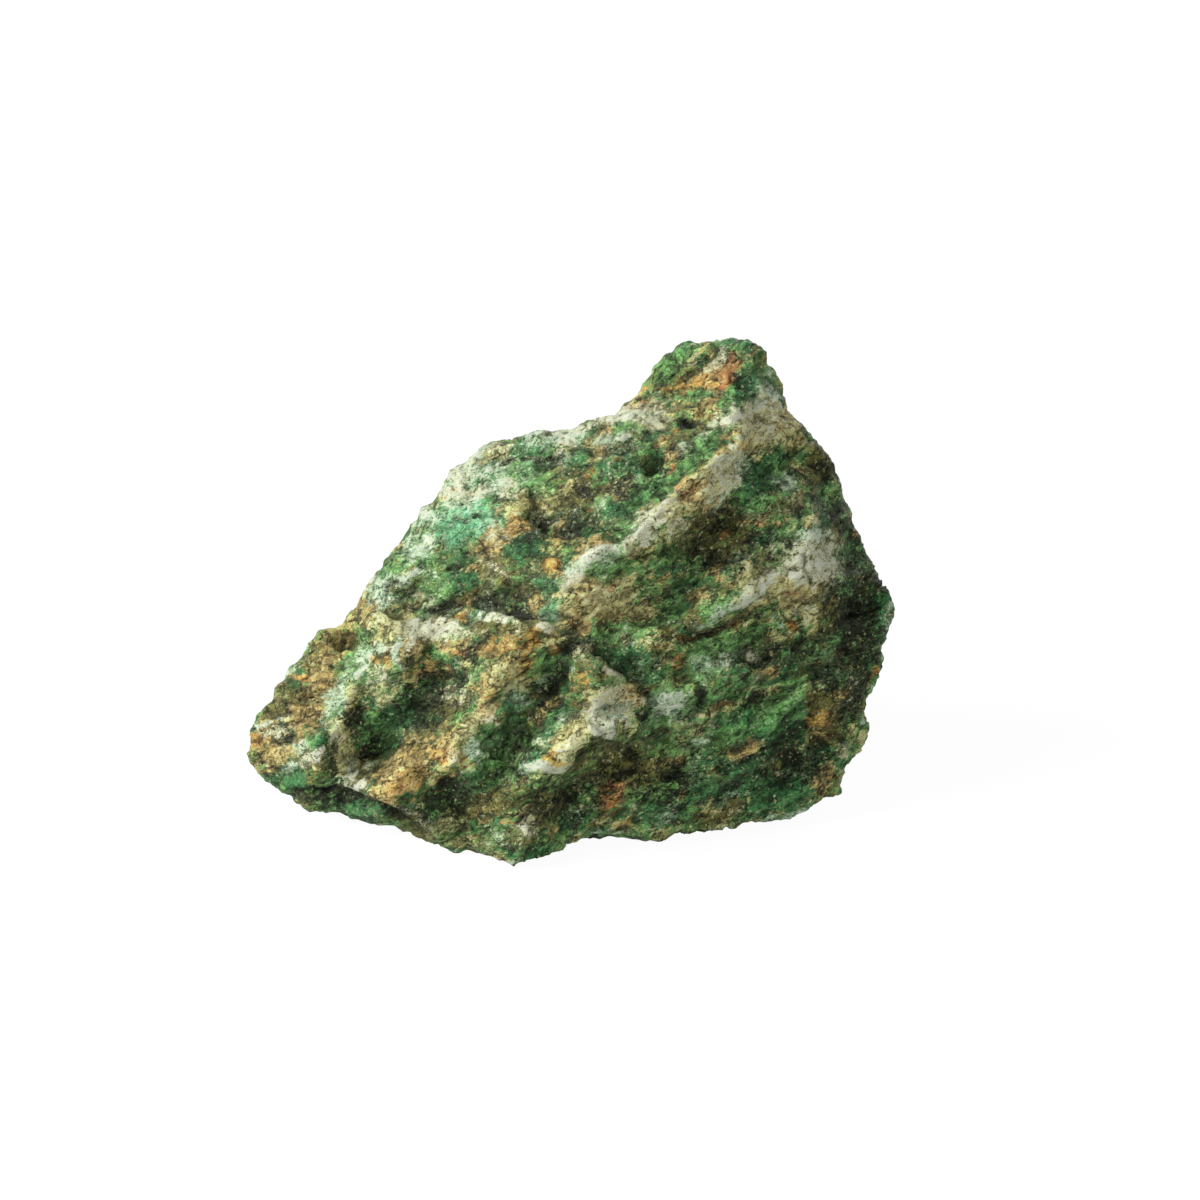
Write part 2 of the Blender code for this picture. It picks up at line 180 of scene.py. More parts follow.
# The front's patches, in the order of Patch's fields. They were set one by one, against the
# photograph and against comparisons of a render with it.
PATCH_ROWS = {
    "leaf": [
        (-30.9, -8.2, 1.4, 2, 0, 0.7), (-14.2, -16.9, 1.8, 1.4, 0, 0.7), (-12.1, -19, 2, 1.4, 30, 0.7),
        (5.2, 1.8, 1.6, 1.4, 0, 0.6), (13.5, -9.4, 1.8, 1.4, 0, 0.6), (11.1, -12.8, 1.6, 1.2, 0, 0.5),
        (-30.9, -2.2, 1.2, 1.6, 0, 0.5), (8.7, -1, 2, 1.4, 0, 0.7), (-6.6, 18.4, 1.6, 1.2, 0, 0.4),
        (-12, -18.4, 2, 1.6, 40, 0.7), (-9.4, -16.8, 1.6, 1.4, 0, 0.6), (-9.5, 15.2, 2, 1.2),
        (16.4, 13, 1.6, 1.2, 0, 0.6), (-31.2, -8.4, 1.2, 1.8, 0, 0.5), (-27, -15.8, 1.8, 1.6, 0, 0.6),
        (-18.4, -29, 2, 1, 0, 0.4), (17.4, -4.2, 2.2, 1.2, 20, 0.6), (9.4, -9.6, 2.2, 1.4, 20, 0.7),
        (8, 5.6, 2, 1.2, 20, 0.6), (4.6, 5.8, 2, 1, 20, 0.5), (28.6, 13, 1.4, 1.6, 0, 0.6),
        (-5.8, -22, 1.8, 1.2, 0, 0.6), (-14, -16.6, 1.8, 1.2, 0, 0.6), (9.4, 7.6, 1.6, 1, 0, 0.5),
        (5.6, -3, 2.2, 1, 20, 0.5), (-20, 1.5, 2, 1.2, 0, 0.6), (-6.7, 14.4, 2, 1.2, 10, 0.5),
        (-12.3, -28.4, 3, 1, 0, 0.5), (9, 24.6, 2.5, 0.9, 20, 0.4), (-20.5, 4.5, 1.8, 0.7, 0, 0.6),
        (2, 4.3, 3, 1.2, 8, 0.95), (4.5, 12.6, 2, 0.8, 35, 0.7), (12.3, 18.3, 4, 0.7, 45, 0.75),
        (8.5, 28.5, 2.8, 1.5, 52), (16, 24.8, 1.5, 0.6, 52), (21.8, 16.2, 1.8, 1, 35),
        (19.5, 11.5, 2, 0.7, 20, 0.5), (27.8, 13.7, 1.8, 0.5, 5, 0.7, 0.3),
        (12.5, -6, 1.8, 1.2, 20, 0.85), (14, -0.5, 1.8, 1, 30, 0.7), (22, -12.3, 3.5, 1.4, 38, 0.75),
        (0.6, -4, 1.6, 1, 20, 0.7), (8, -18, 3, 1.2, 20, 0.5), (-6.5, -8.3, 1.6, 1, 40, 0.6),
        (-11, -20.6, 1.6, 1, 30, 0.7), (-29.3, -5.3, 1.6, 0.7, 62, 0.6),
        (-16.8, -14.2, 1.4, 0.6, 40, 0.6), (2.5, 8.7, 2, 0.8, 30, 0.5), (15, -17, 2.5, 1.5, 30, 0.45),
    ],
    "emerald": [
        (-28.9, -25.6, 3, 1.2, -15, 0.6), (-3.2, -27.4, 2, 1.2, 0, 0.5), (16.6, -14.8, 2.6, 1.4, 20),
        (-17.5, 8.4, 1.8, 1.4), (10.4, -27.6, 2.6, 1.4, 0, 0.6), (-8.9, -30.6, 3, 1, 0, 0.6),
        (22, -15, 3.5, 2.5, 30, 0.5), (28, -19, 2, 2, 0, 0.4), (-8, 18.5, 2.5, 0.8, 5, 0.7),
        (-3, 16.8, 1.6, 1.5, 40, 0.6), (-9, 6, 2.2, 1.7, 20, 0.85), (-16.8, 2.2, 1.8, 1.2, 15, 0.85),
        (-6.5, 1.6, 1.3, 0.7, 0, 0.7), (1.2, 16.2, 1.4, 0.8, 10, 0.7), (2.3, 10.8, 1.2, 0.8),
        (5.5, 13, 1.8, 0.8, 40, 0.6), (10.5, 30.8, 1.6, 0.7, 30, 0.7), (17, 31.2, 1.4, 0.7, 10, 0.9),
        (18, 25.8, 2.6, 1.1, 58, 0.95), (18.5, 14.6, 2.6, 1.8, 65, 0.85), (20.8, 17.4, 2, 1.1, 10),
        (3.3, -6.8, 2.2, 1.5, 20, 0.85), (6, -9, 1.6, 0.8, 20, 0.7), (34.3, -2, 2.6, 0.9, 85),
        (17, -8, 1.6, 0.8, 20, 0.5), (17, -20.5, 2.2, 1, 15, 0.85), (22, -24, 4, 2, 15, 0.65),
        (13, -23.5, 3, 1.5, 15, 0.5), (-10.6, -13, 1.7, 1, 50, 0.75),
        (-12.8, -16.8, 1.6, 1.4, 60, 0.6), (-6.5, -15.7, 1, 0.7, 50, 0.7),
        (-25.3, -14.5, 2.3, 1.2, 15, 0.9), (-30.2, -17.5, 0.9, 0.7, 0, 0.6),
        (-33.7, -17.3, 1.3, 1, 40, 0.9), (-37.3, -21.5, 1.5, 1.4, 0, 0.9), (-28.5, -12.2, 1, 0.5),
        (-17.6, -7.5, 0.8, 0.6), (7, -26, 2, 1.2, 10, 0.6), (14.2, -2, 1.2, 0.8, 0, 0.4),
    ],
    "olive": [
        (26.9, -12.8, 2, 1.6, 0, 0.7), (-40.2, -18.5, 1.4, 1.4, 0, 0.5), (-11.9, 3.5, 2, 1.4, 10, 0.6),
        (-4.2, 15.2, 2.2, 1.4, 10, 0.6), (-10, -29.1, 2, 1.2, 0, 0.6), (-7.4, 4.4, 2, 1.2, 10, 0.6),
        (26.4, 18, 1.4, 1.8), (-13.8, -29.2, 2, 1.2, 0, 0.5), (-22.3, -17.4, 1.6, 1.6, 0, 0.6),
        (-13, -24.6, 3.2, 1.6, 20, 0.7), (9.5, 27.3, 2.6, 1.6, 50, 0.6),
        (-21.7, -28, 3.5, 1.2, -25, 0.6), (-39, -12.4, 2.6, 1.2, 55, 0.6),
        (-32.6, -9.5, 3, 0.8, 62, 0.5), (27.7, -16.6, 2, 1.6, 0, 0.6), (0.7, 13.4, 2, 1, 10, 0.4),
        (-6, 20.4, 2, 0.4, 15, 0.6), (-6, 12.2, 3.5, 1, 5, 0.5), (-35, -6, 2.5, 1.6, 50, 0.5),
        (-34.5, -21, 1.8, 1.3, 30, 0.5), (2.5, 18.5, 1.8, 0.8, 0, 0.5), (19.3, 22, 0.8, 0.8),
        (13, 8, 4, 2.5, 30, 0.5), (28.3, 8, 0.9, 0.9, 0, 0.8, 0.4), (14, -26.3, 4, 1, 18, 0.7),
        (3, -19.5, 5, 3, 10, 0.5), (27.5, -2, 1.6, 3, 0, 0.5), (-6, -25, 2, 3, 0, 0.4),
    ],
    # The dark patches at the right end, from about 30 mm across, are painted shade on the end that turns away
    # from the key light.
    "dark": [
        (34.5, 2, 1.2, 2, 0, 0.9), (31.3, 8, 1, 2, 0, 0.7), (9, -24, 3, 2, 10, 0.7),
        (21.3, -6.6, 3, 1, 15, 0.7), (27, -18.6, 1.8, 1.6, 0, 0.6), (-12.6, -23.4, 2, 0.8, 20, 0.5),
        (-10.7, 17, 1.4, 0.5, 10, 0.7), (-8, 17.2, 2.5, 0.6, -5, 0.6), (-8.3, 8.2, 2, 1.4, 40, 0.7),
        (-3, 9, 2.4, 1.4, 20, 0.6), (-1.5, 13, 1.5, 0.6, 10, 0.7), (-12, -0.3, 3.2, 0.9, -5, 0.7),
        (-10.3, -1.4, 1.6, 0.4, -10, 0.95), (-19.3, -0.8, 1.8, 0.6, 20), (-26.3, 1.3, 0.4, 1, 0, 0.7),
        (-25, 2.1, 1.3, 0.3, 10, 0.7), (-14, 1.3, 2.5, 1, -30, 0.4),
        (10.8, 21.7, 1.2, 0.8, 0, 0.95, -0.8), (2.4, 13.6, 1.7, 1, 20, 0.6),
        (11.3, 18, 0.6, 1.3, 0, 0.6), (3, 11.6, 1.6, 0.5, 35, 0.6), (21.5, 13.5, 4, 0.5, 35, 0.45),
        (27.3, 16.5, 2.2, 1.2, 100), (28.3, 11.4, 1.7, 1.5, 0, 0.6), (13, 5, 3, 1.8, 10, 0.5),
        (19, 7.5, 2.5, 1, 20, 0.5), (14, -3.8, 3.5, 0.5, 22, 0.7),
        (25.8, 2.9, 1, 0.4, 100, 0.95, -0.3), (30.5, 7.5, 3.5, 1.2, 105, 0.5),
        (31.5, -2, 6, 3, 85, 0.9), (31, -12, 4, 1.6, 70, 0.6), (14, 9, 4.5, 2, 40, 0.6),
        (24, -21, 5, 2, 15, 0.5), (27.3, -0.5, 2.4, 0.7, 75, 0.5), (-3, -5.5, 2, 1.3, 10),
        (-6.3, -12, 3, 1.3, 55, 0.75), (-4.5, -9, 1.6, 0.8, 60, 0.6), (4.8, -14, 0.5, 0.8),
        (12.5, -12, 0.9, 1.3, 0, 0.9, -0.6), (16.5, -9.6, 2.2, 0.5, 28, 0.7),
        (18.7, -12, 1.3, 0.9, 20, 0.7), (3, -20.5, 4.5, 2.5, 20, 0.55), (9, -21.3, 2, 1.6, 20, 0.75),
        (-5, -24.5, 3.5, 2.4, -10, 0.7), (-1.5, -17.8, 2, 0.7, 35, 0.7),
        (23.3, -19.3, 1.4, 1.4, 0, 0.95, -0.8), (22.5, -16.6, 2.6, 1.6, 40, 0.7),
        (19.5, -18.7, 1.2, 0.4, 40, 0.7), (24, -6.5, 3.5, 1.2, 20, 0.5),
        (27.5, -11.5, 2.5, 0.8, 20, 0.5), (-29.5, -14.6, 1.7, 2, 0, 0.85, -0.5),
        (-28, -18, 2, 1, 40, 0.7), (-32.6, -20, 1.2, 1.6, 0, 0.7), (-21.5, -12, 3.6, 2, 35, 0.7),
        (-23, -7.2, 0.9, 0.6, 30, 0.6), (-21, -14.8, 2.5, 0.7, 30, 0.6),
        (-33, -23.7, 4, 1.1, -3, 0.85), (-26, -25.3, 5, 0.9, -14, 0.75),
        (-18.7, -23.6, 3.2, 2, 25, 0.75), (-15.5, -6.8, 1, 0.7, 0, 0.6), (-9.5, -17.5, 1, 2, 0, 0.5),
        (-20.5, 6.5, 1.4, 0.4, 20, 0.4),
    ],
    "tan": [
        (13.4, 27.4, 2, 1.2, 40, 0.6), (11.8, 13, 1.6, 1.6, 40, 0.6), (12.9, 23, 1.6, 1.4, 0, 0.6),
        (-19.2, -21.2, 1.6, 1.2, 0, 0.5), (9.5, 24, 1.6, 1.2, 0, 0.5), (1, -2.3, 1.8, 1.2, 0, 0.5),
        (23, 22, 1.2, 1.6, 100, 0.6), (23.6, 0.2, 1.8, 1, 0, 0.7), (-11.4, -8, 1.6, 1, 0, 0.5),
        (-21.2, -8, 1.8, 1.2, 0, 0.5), (-13, 7, 3, 1.2, 30, 0.6), (-5.7, 7, 1.6, 0.8, 10, 0.7),
        (-2, 7.2, 1.8, 0.6, 0, 0.5), (-5.3, 3.1, 1, 0.6, 0, 0.7), (-1.3, 0.8, 2, 1.8, 20, 0.5),
        (-17, -5.8, 3, 0.8, -8, 0.7), (-3.2, -3.3, 1.4, 0.7, -15, 0.7), (-7.8, 0, 0.9, 1.4, 0, 0.6),
        (-33.3, -8, 8, 2, 62, 0.7), (-36, -13.5, 3, 1.8, 60, 0.75), (-40, -18.5, 2.5, 2.2, 40, 0.6),
        (-22.5, -6, 0.7, 1, 0, 0.6), (-22.5, -20, 6, 1.8, 42, 0.75), (-23, -17.4, 1.4, 0.6, 30, 0.7),
        (-14, -12, 1.2, 3, 0, 0.7), (-13.8, -25.6, 2.2, 1, 20, 0.3), (3.6, -11.4, 1.6, 1.1, -40),
        (-7, -14, 2.8, 0.5, 45, 0.6), (7, -20, 2, 1, 20, 0.4), (11.8, 0.5, 1.2, 0.7, 30, 0.7),
        (31.4, 8.3, 1, 0.5, 110, 0.6), (20.7, -8.7, 1.3, 0.4, 15, 0.7),
        (15.3, -13.2, 1.2, 0.6, 15, 0.7), (17.8, -18.3, 1.9, 0.7, 42, 0.85, 0.5),
        (27.6, -16.8, 1.8, 0.7, -50, 0.7), (27.4, -22, 2.6, 1.2, 60, 0.75),
        (30, -11.5, 1.6, 1, 0, 0.4), (6, 23.7, 2.5, 0.5, 5, 0.7), (9, 17.2, 1.4, 0.8, 50, 0.4),
        (21.5, 22, 3, 0.8, 110, 0.6), (10, -27.5, 1.5, 0.6, 0, 0.4), (10, -23.5, 0.8, 0.6, 0, 0.4),
    ],
    "khaki": [
        (-6, -21.6, 1.8, 1.2, 0, 0.6), (-30.1, -19.5, 1.2, 1.4, 0, 0.5), (3.4, 1.6, 2, 1.4, 20),
        (-3, 1, 2, 1.4, 20, 0.6), (-17.1, -29.4, 1.6, 1, 0, 0.6), (16.2, -3, 2.2, 1.6, 20, 0.5),
        (-29.6, -19.6, 1.6, 1.6, 0, 0.6), (14.6, 12.4, 1.6, 1.4, 0, 0.5),
        (6.6, -4.6, 1.6, 1.2, 0, 0.5), (18.9, 19.4, 2, 1.4, 100, 1), (5.6, -1.8, 2, 1.4, 20, 0.9),
        (28.6, 13, 1.2, 1.4, 0, 0.4), (9.1, 7.7, 1.6, 1.2, 20, 0.9), (23.6, 0.1, 2, 1.4, 20, 0.9),
        (9.4, -9.6, 1.8, 1.4, 0, 0.5), (3.6, 1.4, 2, 1.2, 20, 0.6), (4.6, 5.8, 2, 1.2, 20, 0.6),
        (22.9, 21.8, 1.4, 1.6, 100, 0.7), (17.9, 2.9, 2, 1.2, 20, 0.6),
        (-5.8, -21.8, 1.6, 1.2, 0, 0.5), (-14, -16.8, 1.6, 1.4, 0, 0.35),
        (-10.8, 11.2, 2, 1.2, 20, 0.5), (9, 11, 2, 1.2, 20, 0.7), (1, -2, 2, 1.2, 0, 0.6),
        (-12, -9.5, 2.4, 1.8, 30, 0.6), (-29.8, -12, 1.6, 2, 0, 0.6), (13.4, 14.6, 3.6, 1.7, 48, 0.9),
        (20.2, 21.4, 3.4, 1.8, 105), (20.6, 1.4, 4, 1.5, 18), (1.2, -0.4, 3, 1.6, 20),
        # the khaki patch at (-31.2, -18.6) is painted light, laid over a place where the stone's own relief
        # throws shade
        (-31.2, -18.6, 1.3, 2.8, 0, 0.85), (2.6, 1.6, 2.6, 1.2, 20, 0.5),
        (-13.5, 17.6, 2.5, 0.7, 25, 0.5), (-25.5, -3, 3, 1.6, 50, 0.6), (-3.2, -0.9, 2, 1, 20, 0.7),
        (-5.5, 13, 2.5, 1, 5, 0.5), (-16.5, -16, 2.4, 1.3, 40, 0.85), (-31.3, -15.8, 1, 1.6, 0, 0.7),
        (-23.5, -9.4, 0.9, 0.8), (-3.3, -16.5, 2.6, 1.3, 45, 0.9), (0.5, -11.8, 1.7, 1),
        (0.4, -27, 1.2, 0.8, 0, 0.5), (-2.3, -23.7, 1.2, 0.4, -40, 0.5), (13.3, 0.3, 1.2, 0.8, 40),
        (13.5, -13.7, 2.4, 0.4, 15, 0.7), (24.6, 16.2, 0.9, 0.7, 0, 0.7),
        (25.3, 9.5, 0.9, 0.7, 0, 0.8, 0.3), (22.5, -4.3, 2.6, 0.6, 15), (25.4, -2.5, 1, 1.6, 0, 0.6),
        (30.9, -15.6, 1.3, 0.7, 70, 0.6), (23, 20, 2, 0.8, -50, 0.5), (-24, -20, 1.5, 0.6, 30, 0.5),
        (21, -10.8, 2.2, 0.4, 15, 0.6), (8, 8, 1.2, 1.2, 0, 0.4),
    ],
    "ochre": [
        (-18.2, 12.6, 1, 0.7, 10, 0.5), (-10, 9.5, 2.2, 0.9, 70, 0.5),
        (-5.8, 4.4, 1.2, 0.8, 25, 0.95, 0.4), (-16.8, -2, 1.3, 0.4, 0, 0.7),
        (-12.2, -5.6, 2.2, 1.3, 20, 0.65), (-8.5, -4.8, 1.8, 1.2, 60, 0.75),
        (-5.8, -5.5, 1, 0.7, 0, 0.6), (-9, -7.4, 1.2, 1.4, 0, 0.6), (-2.3, -10.3, 2, 1.3, 50, 0.5),
        (-5.7, -19, 1.3, 0.9, 20, 0.6), (-27.6, -7.2, 0.8, 0.5), (-25.8, -7, 0.5, 1.5, 0, 0.5),
        (-34, -11, 1.2, 0.5, 40, 0.6), (-36.5, -9.3, 1, 0.6, 0, 0.9), (-41.7, -17, 0.9, 0.7),
        (-19.3, -18.6, 1.5, 0.8, 30), (-23.5, -21.5, 3, 0.8, 35, 0.6), (11, 26.2, 4, 1, 10, 0.65),
        (9, 20.8, 1, 0.5, 0, 0.7), (14.8, 18.3, 0.8, 0.7, 0, 0.6), (17.9, 19, 1.2, 0.9, 30),
        (15.2, 8, 0.8, 0.6), (23.2, -3, 0.7, 0.5, 0, 0.95), (7, -6, 1.2, 0.8, 20, 0.5),
        (33.6, -8.6, 0.7, 0.8, 0, 0.9, 0.6), (26.7, -14.4, 1.7, 1, 20, 0.85, 0.6),
        (-1.2, 15.4, 1, 0.7, 60, 0.7), (-1, 11.6, 0.8, 0.5, 20, 0.6), (12, -4.4, 1.8, 0.3, 15, 0.6),
    ],
    "rust": [
        (11.4, 13.3, 2.2, 1.4, 35, 0.85), (13, 14.9, 1, 0.6, 50, 0.9), (15.5, 27.3, 3, 0.8, 62, 0.9),
        (18.2, 18.6, 0.9, 0.7, 0, 0.7), (8.8, 15.8, 1, 0.3, 42, 0.7), (1.4, 1.4, 0.6, 0.9, 0, 0.9),
        (2.6, -1.5, 0.4, 0.6), (-17.3, -6.5, 0.9, 0.3, -10, 0.6), (23.7, 0.9, 1.3, 0.7, -15, 0.95),
        (16.4, -2.6, 1.4, 0.8, 10, 0.7), (9.2, -7.8, 1.3, 0.7, 60, 0.6),
        (10.2, -4.7, 0.9, 0.4, 20, 0.7), (1.5, -24.2, 1.5, 1.9, 0, 0.75, 0.3),
        (-24, -22.9, 2.6, 0.7, 25, 0.7), (-8.8, -21.8, 0.7, 0.4, 40, 0.6),
        (5.5, 24.3, 1.2, 0.3, 10, 0.6), (-11, -27, 0.8, 0.5, 0, 0.5),
    ],
    "mint": [
        (-23.2, 7, 1.6, 1.8, 0, 0.6), (-15.8, 16.8, 1.8, 1.4, 0, 0.6), (-18.6, 14.2, 1.4, 1.6, 0, 0.6),
        (-12.9, 14.4, 1.6, 1.4, 0, 0.5), (-4.4, 20, 2.4, 1.2, 0, 0.5), (-12.6, 7.8, 1.6, 1.4, 0, 0.4),
        (-5, 16.8, 1.6, 1.2, 0, 0.35), (-26.8, 1.2, 1.6, 2, 0, 0.7), (1.1, -13.6, 2, 1.4, 20),
        (1.8, 19.3, 2, 1.2, 0, 0.6), (-16.8, 12, 1.8, 1.6), (-8, 19.8, 1.8, 1.2),
        (-21, 10.4, 1.6, 1.2, 0, 0.6), (0.6, 5, 1.8, 1.2, 20, 0.5), (21, 24.6, 2, 1.2, 115),
        (16.6, 17, 1.4, 1, 45, 0.7), (-30.6, -20.4, 1, 1.4, 0, 0.6), (-16.5, 16.6, 3.6, 0.9, 42),
        (-14, 15.6, 2.4, 1.2, 25, 0.6), (-22, 6.5, 2, 1.3, 30), (-23.3, 3, 2.4, 0.8, 15, 0.7),
        (-2.4, 4.3, 1.8, 0.8, 30, 0.7), (0.5, 11.5, 1.1, 1, 0, 0.4), (19.8, 25, 1.9, 1.1, 65, 0.85),
        (14.4, 12.3, 1.9, 0.8, 60, 0.7), (26.2, 7.8, 1.4, 0.6, 10, 0.95), (17.8, 0.2, 3, 0.6, 27, 0.9),
        (14.5, -1.6, 3.5, 0.5, 27), (22.3, 13.8, 1.2, 0.5, 35, 0.6), (8.3, -12.6, 2.5, 1.5, 30, 0.75),
        (14, -7.6, 2.4, 1.1, 15, 0.5), (-31.8, -11, 4.6, 0.9, 62, 0.65), (-29, -7.5, 2.4, 0.8, 70),
        (-26.8, -5.7, 1, 0.5), (-24.8, -6.5, 2.4, 0.4, 90, 0.6), (-37, -17.8, 1.4, 0.7, 10, 0.7),
        (-37.6, -20.1, 1.2, 0.5, 30, 0.7), (-40, -14.6, 2, 0.4, 12, 0.7),
        (-15.3, -18, 1.4, 1.5, 0, 0.7), (-7.2, -20.3, 2.2, 0.9, 0, 0.9), (-9.8, -12.2, 1, 1, 0, 0.5),
        (21, -26.6, 3, 0.4, 8, 0.6), (35.2, -2, 2.2, 0.3, 85, 0.6), (8.6, -25.7, 0.8, 1.1, 0, 0.6),
        (-9, 15.4, 1.3, 1.2, 0, 0.4), (16.5, -23.7, 1.3, 0.3, 20, 0.6), (-13, -29, 1.8, 0.7, 10, 0.5),
        (13.6, 21.5, 2, 0.5, 55, 0.5),
    ],
    "glass": [
        (-16.3, 9.7, 3.7, 2.3, 18, 1, 0.2), (-18, 7.8, 1.7, 1.2, 30, 0.7),
        (-9, 15.6, 1.4, 1.1, 0, 0.5), (-6, -1, 1.5, 0.8, 10, 0.7), (-10.8, -11.8, 1.6, 1.2, 50, 0.5),
        (-8, 18.9, 2.2, 0.5, 5, 0.5), (13, -8, 2, 1, 10, 0.4), (-13.2, -17.3, 1.4, 0.9, 30, 0.5),
    ],
    "cream": [
        (-0.2, 0.4, 1.8, 1, 20, 0.5), (20.2, 22.3, 2.4, 2, 110, 1), (15, 15.2, 3, 1.6, 48, 1),
        (27.8, 3.6, 2, 1.6, 0, 0.6), (0.4, 0.8, 2, 0.8, 20, 0.5), (-12.6, 18.6, 2, 1.2, 0, 0.5),
        (-17.4, 15.2, 1.6, 1.6, 0, 0.6), (-32.4, -16.8, 0.9, 1.6, 0, 0.6),
        (1, -12.8, 2.8, 1.9, 20, 0.9), (19.2, 19.6, 1.8, 1.2, 100), (20, 2.4, 3, 1, 25),
        (23.6, 0.4, 1.6, 1, 0, 0.5), (-16.6, 13.1, 2.8, 0.9, 5, 0.9), (-11, 13.6, 1.7, 1.1, 0, 0.6),
        (-11, 16.5, 1, 0.25, 10, 0.6), (-5, 17.5, 0.7, 1.2, 0, 0.7), (-4, 19.2, 1.5, 0.6, 0, 0.6),
        (-2.5, 21, 3.5, 0.6, 17, 0.7), (3.8, 22.8, 4.5, 1, 12, 0.85), (6.5, 21.8, 2, 0.8, 10, 0.5),
        (0, 5.7, 2.2, 0.8, 8, 0.85), (-3.3, 2.6, 2.2, 1, 45, 0.7), (-13, 4, 1.9, 0.5, -35, 0.6),
        (-20, -3.6, 4.6, 1.3, -5, 0.85), (-23.3, -5, 1, 1.4, 30, 0.7), (-12.2, -2.1, 2, 0.6, 5, 0.75),
        (-10, -3.2, 1.5, 0.4, 20, 0.5), (-6.6, -3.4, 1.2, 0.8, -20, 0.85, 0.4),
        (-27.3, -9.3, 1.6, 1.6, 0, 0.5), (-39, -15.8, 1.8, 0.6, 10, 0.6), (-35, -19.2, 1.6, 0.5, 20),
        (-30.3, -20.3, 0.5, 2, 0, 0.6), (-29.5, -22.7, 1.2, 0.6, 10),
        (-22, -26.7, 2.8, 0.25, -35, 0.7), (-18.2, -19, 0.6, 0.9, 0, 0.85),
        (-13.6, -14.3, 1, 0.9, 0, 0.85), (-17.5, -11.6, 1.5, 0.9, 0, 0.4), (0.4, -14.2, 2.2, 1.1, 15),
        (-0.3, -15.6, 1.4, 0.5, -10, 0.9), (1.2, -9, 1.3, 0.7, -45, 0.5),
        (-3.9, -17.7, 2.2, 0.6, 50, 0.5), (-6.9, -20.6, 1.6, 0.4, 0, 0.6),
        (-7.3, -17, 0.7, 0.5, 0, 0.7), (-9, -27.3, 1.2, 1.1), (14, 28.5, 2, 0.6, 52, 0.65),
        (16, 22.3, 1.5, 1.2, 20, 0.95, 0.5), (18.8, 20.6, 1.8, 0.9, 20, 0.65),
        (16.4, 18.5, 0.8, 0.7, 0, 0.9), (6, 9, 5, 0.9, 47, 0.7), (9.4, 8.8, 0.9, 0.8, 0, 0.75),
        (25.7, 4.3, 3.6, 2.5, 20, 0.9), (20.5, 3, 2.2, 1, 40, 0.65), (24, -0.8, 0.8, 1.8, 0, 0.5),
        (18.3, -7, 0.7, 0.7, 0, 0.95, 0.4), (30, -18.6, 0.9, 0.5, 0, 0.4),
        (3.2, 19.8, 1.8, 0.4, 10, 0.5), (20, 4.8, 1, 0.4, 30, 0.4), (5, -12.3, 0.6, 0.4, 0, 0.7),
    ],
    "grey": [
        (-4.8, 18.3, 1.6, 1.4, 0, 0.5), (6, 21.6, 2.6, 1, 10, 0.6), (2.3, 13.8, 1.8, 1.2, 20, 0.5),
        (-2.3, -6.3, 1, 1, 0, 0.7), (0.8, -8.4, 1.6, 0.7, -42, 0.7), (-8, 9.3, 2, 0.4, 40, 0.5),
        (-10, -28.8, 2, 0.8, 10, 0.5), (-10, -17.5, 0.8, 1.8, 0, 0.5), (17.3, 22.3, 1, 0.8, 0, 0.6),
        (9.8, 9.3, 1.3, 0.8, 0, 0.4), (11.5, 29.3, 1.2, 0.6, 30, 0.5), (30, -18.4, 1.2, 0.8, 0, 0.6),
    ],
}
PATCHES = {name: [Patch(*row) for row in rows] for name, rows in PATCH_ROWS.items()}

EDGES = {
    "cleft above the shelf": Edge(
        [(-15, -0.8), (-12, -1.2), (-9.5, -1.9), (-4.5, -2.3)], -0.8, 1.4, 0.5
    ),
    "terrace lip": Edge([(-1.5, 5.2), (0.5, 6.3), (3, 6.2)], 0.6, 1, 2),
    "main crest": Edge([(3, 6), (6.5, 9.8), (10, 13.4), (15, 17.6)], 0.5, 1.5, 0.6),
    "mint ridge": Edge([(10.5, -3.1), (15, -1.2), (19.5, 1.2)], 0.8, 3, 0.5),
    "crevice under the mint ridge": Edge([(10, -4.8), (14, -3.8), (18, -1.6)], -0.9, 0.7, 0.9),
    "upright crack in the pale quartz": Edge([(25, 5.6), (25.1, 4), (25.9, 2.1)], -0.8, 0.4, 0.4),
    "slanting crack in the pale quartz": Edge([(22.2, 2), (23, 3.8), (24.7, 4.1)], -0.5, 0.4, 0.4),
    "upper lower-right ridge": Edge([(12, -14.6), (16, -13.2), (19, -10.8), (25, -9.7)], 0.6, 1.2, 0.8),
    "lower lower-right ridge": Edge([(16, -19.5), (19, -17.3), (22, -13.5), (25.5, -10.8)], 0.9, 1.4, 0.8),
    "chip edge over the middle rib": Edge(
        [(-1.3, -6.8), (2.5, -9.5), (5.4, -12.3), (5, -14.5)], 0.6, 0.5, 2.6
    ),
    "middle rib": Edge([(-8.5, -20.6), (-4.8, -20.8), (-3, -18), (0, -16.3), (3, -16.4)], 0.7, 2, 0.6),
    "left rib": Edge([(-28.5, -23.5), (-24, -25), (-21, -22.6), (-18, -20.2)], 0.7, 2.5, 0.6),
    "pale line at the foot": Edge([(-24.2, -25.4), (-20.2, -27.5), (-18.5, -29.5)], 0.4, 0.6, 0.6),
    "undercut": Edge([(-37, -23), (-31, -23.2), (-25, -25.7)], -0.8, 0.5, 2),
    "left hollow": Edge([(-26.2, 0.2), (-26.2, 1.8), (-24.8, 2.3)], -0.6, 0.4, 0.7),
}


class Pit(NamedTuple):
    """An oval pit on the front: where it is, its half lengths, its turn in degrees and its depth."""

    across: float
    up: float
    long: float
    wide: float
    turn: float
    depth: float


PITS = [Pit(6.5, 16.8, 2, 1.2, 62, 1.6)]


class Swell(NamedTuple):
    """A round place on the front, or on its outline, that stands out or lies back by this height."""

    across: float
    up: float
    reach: float
    height: float


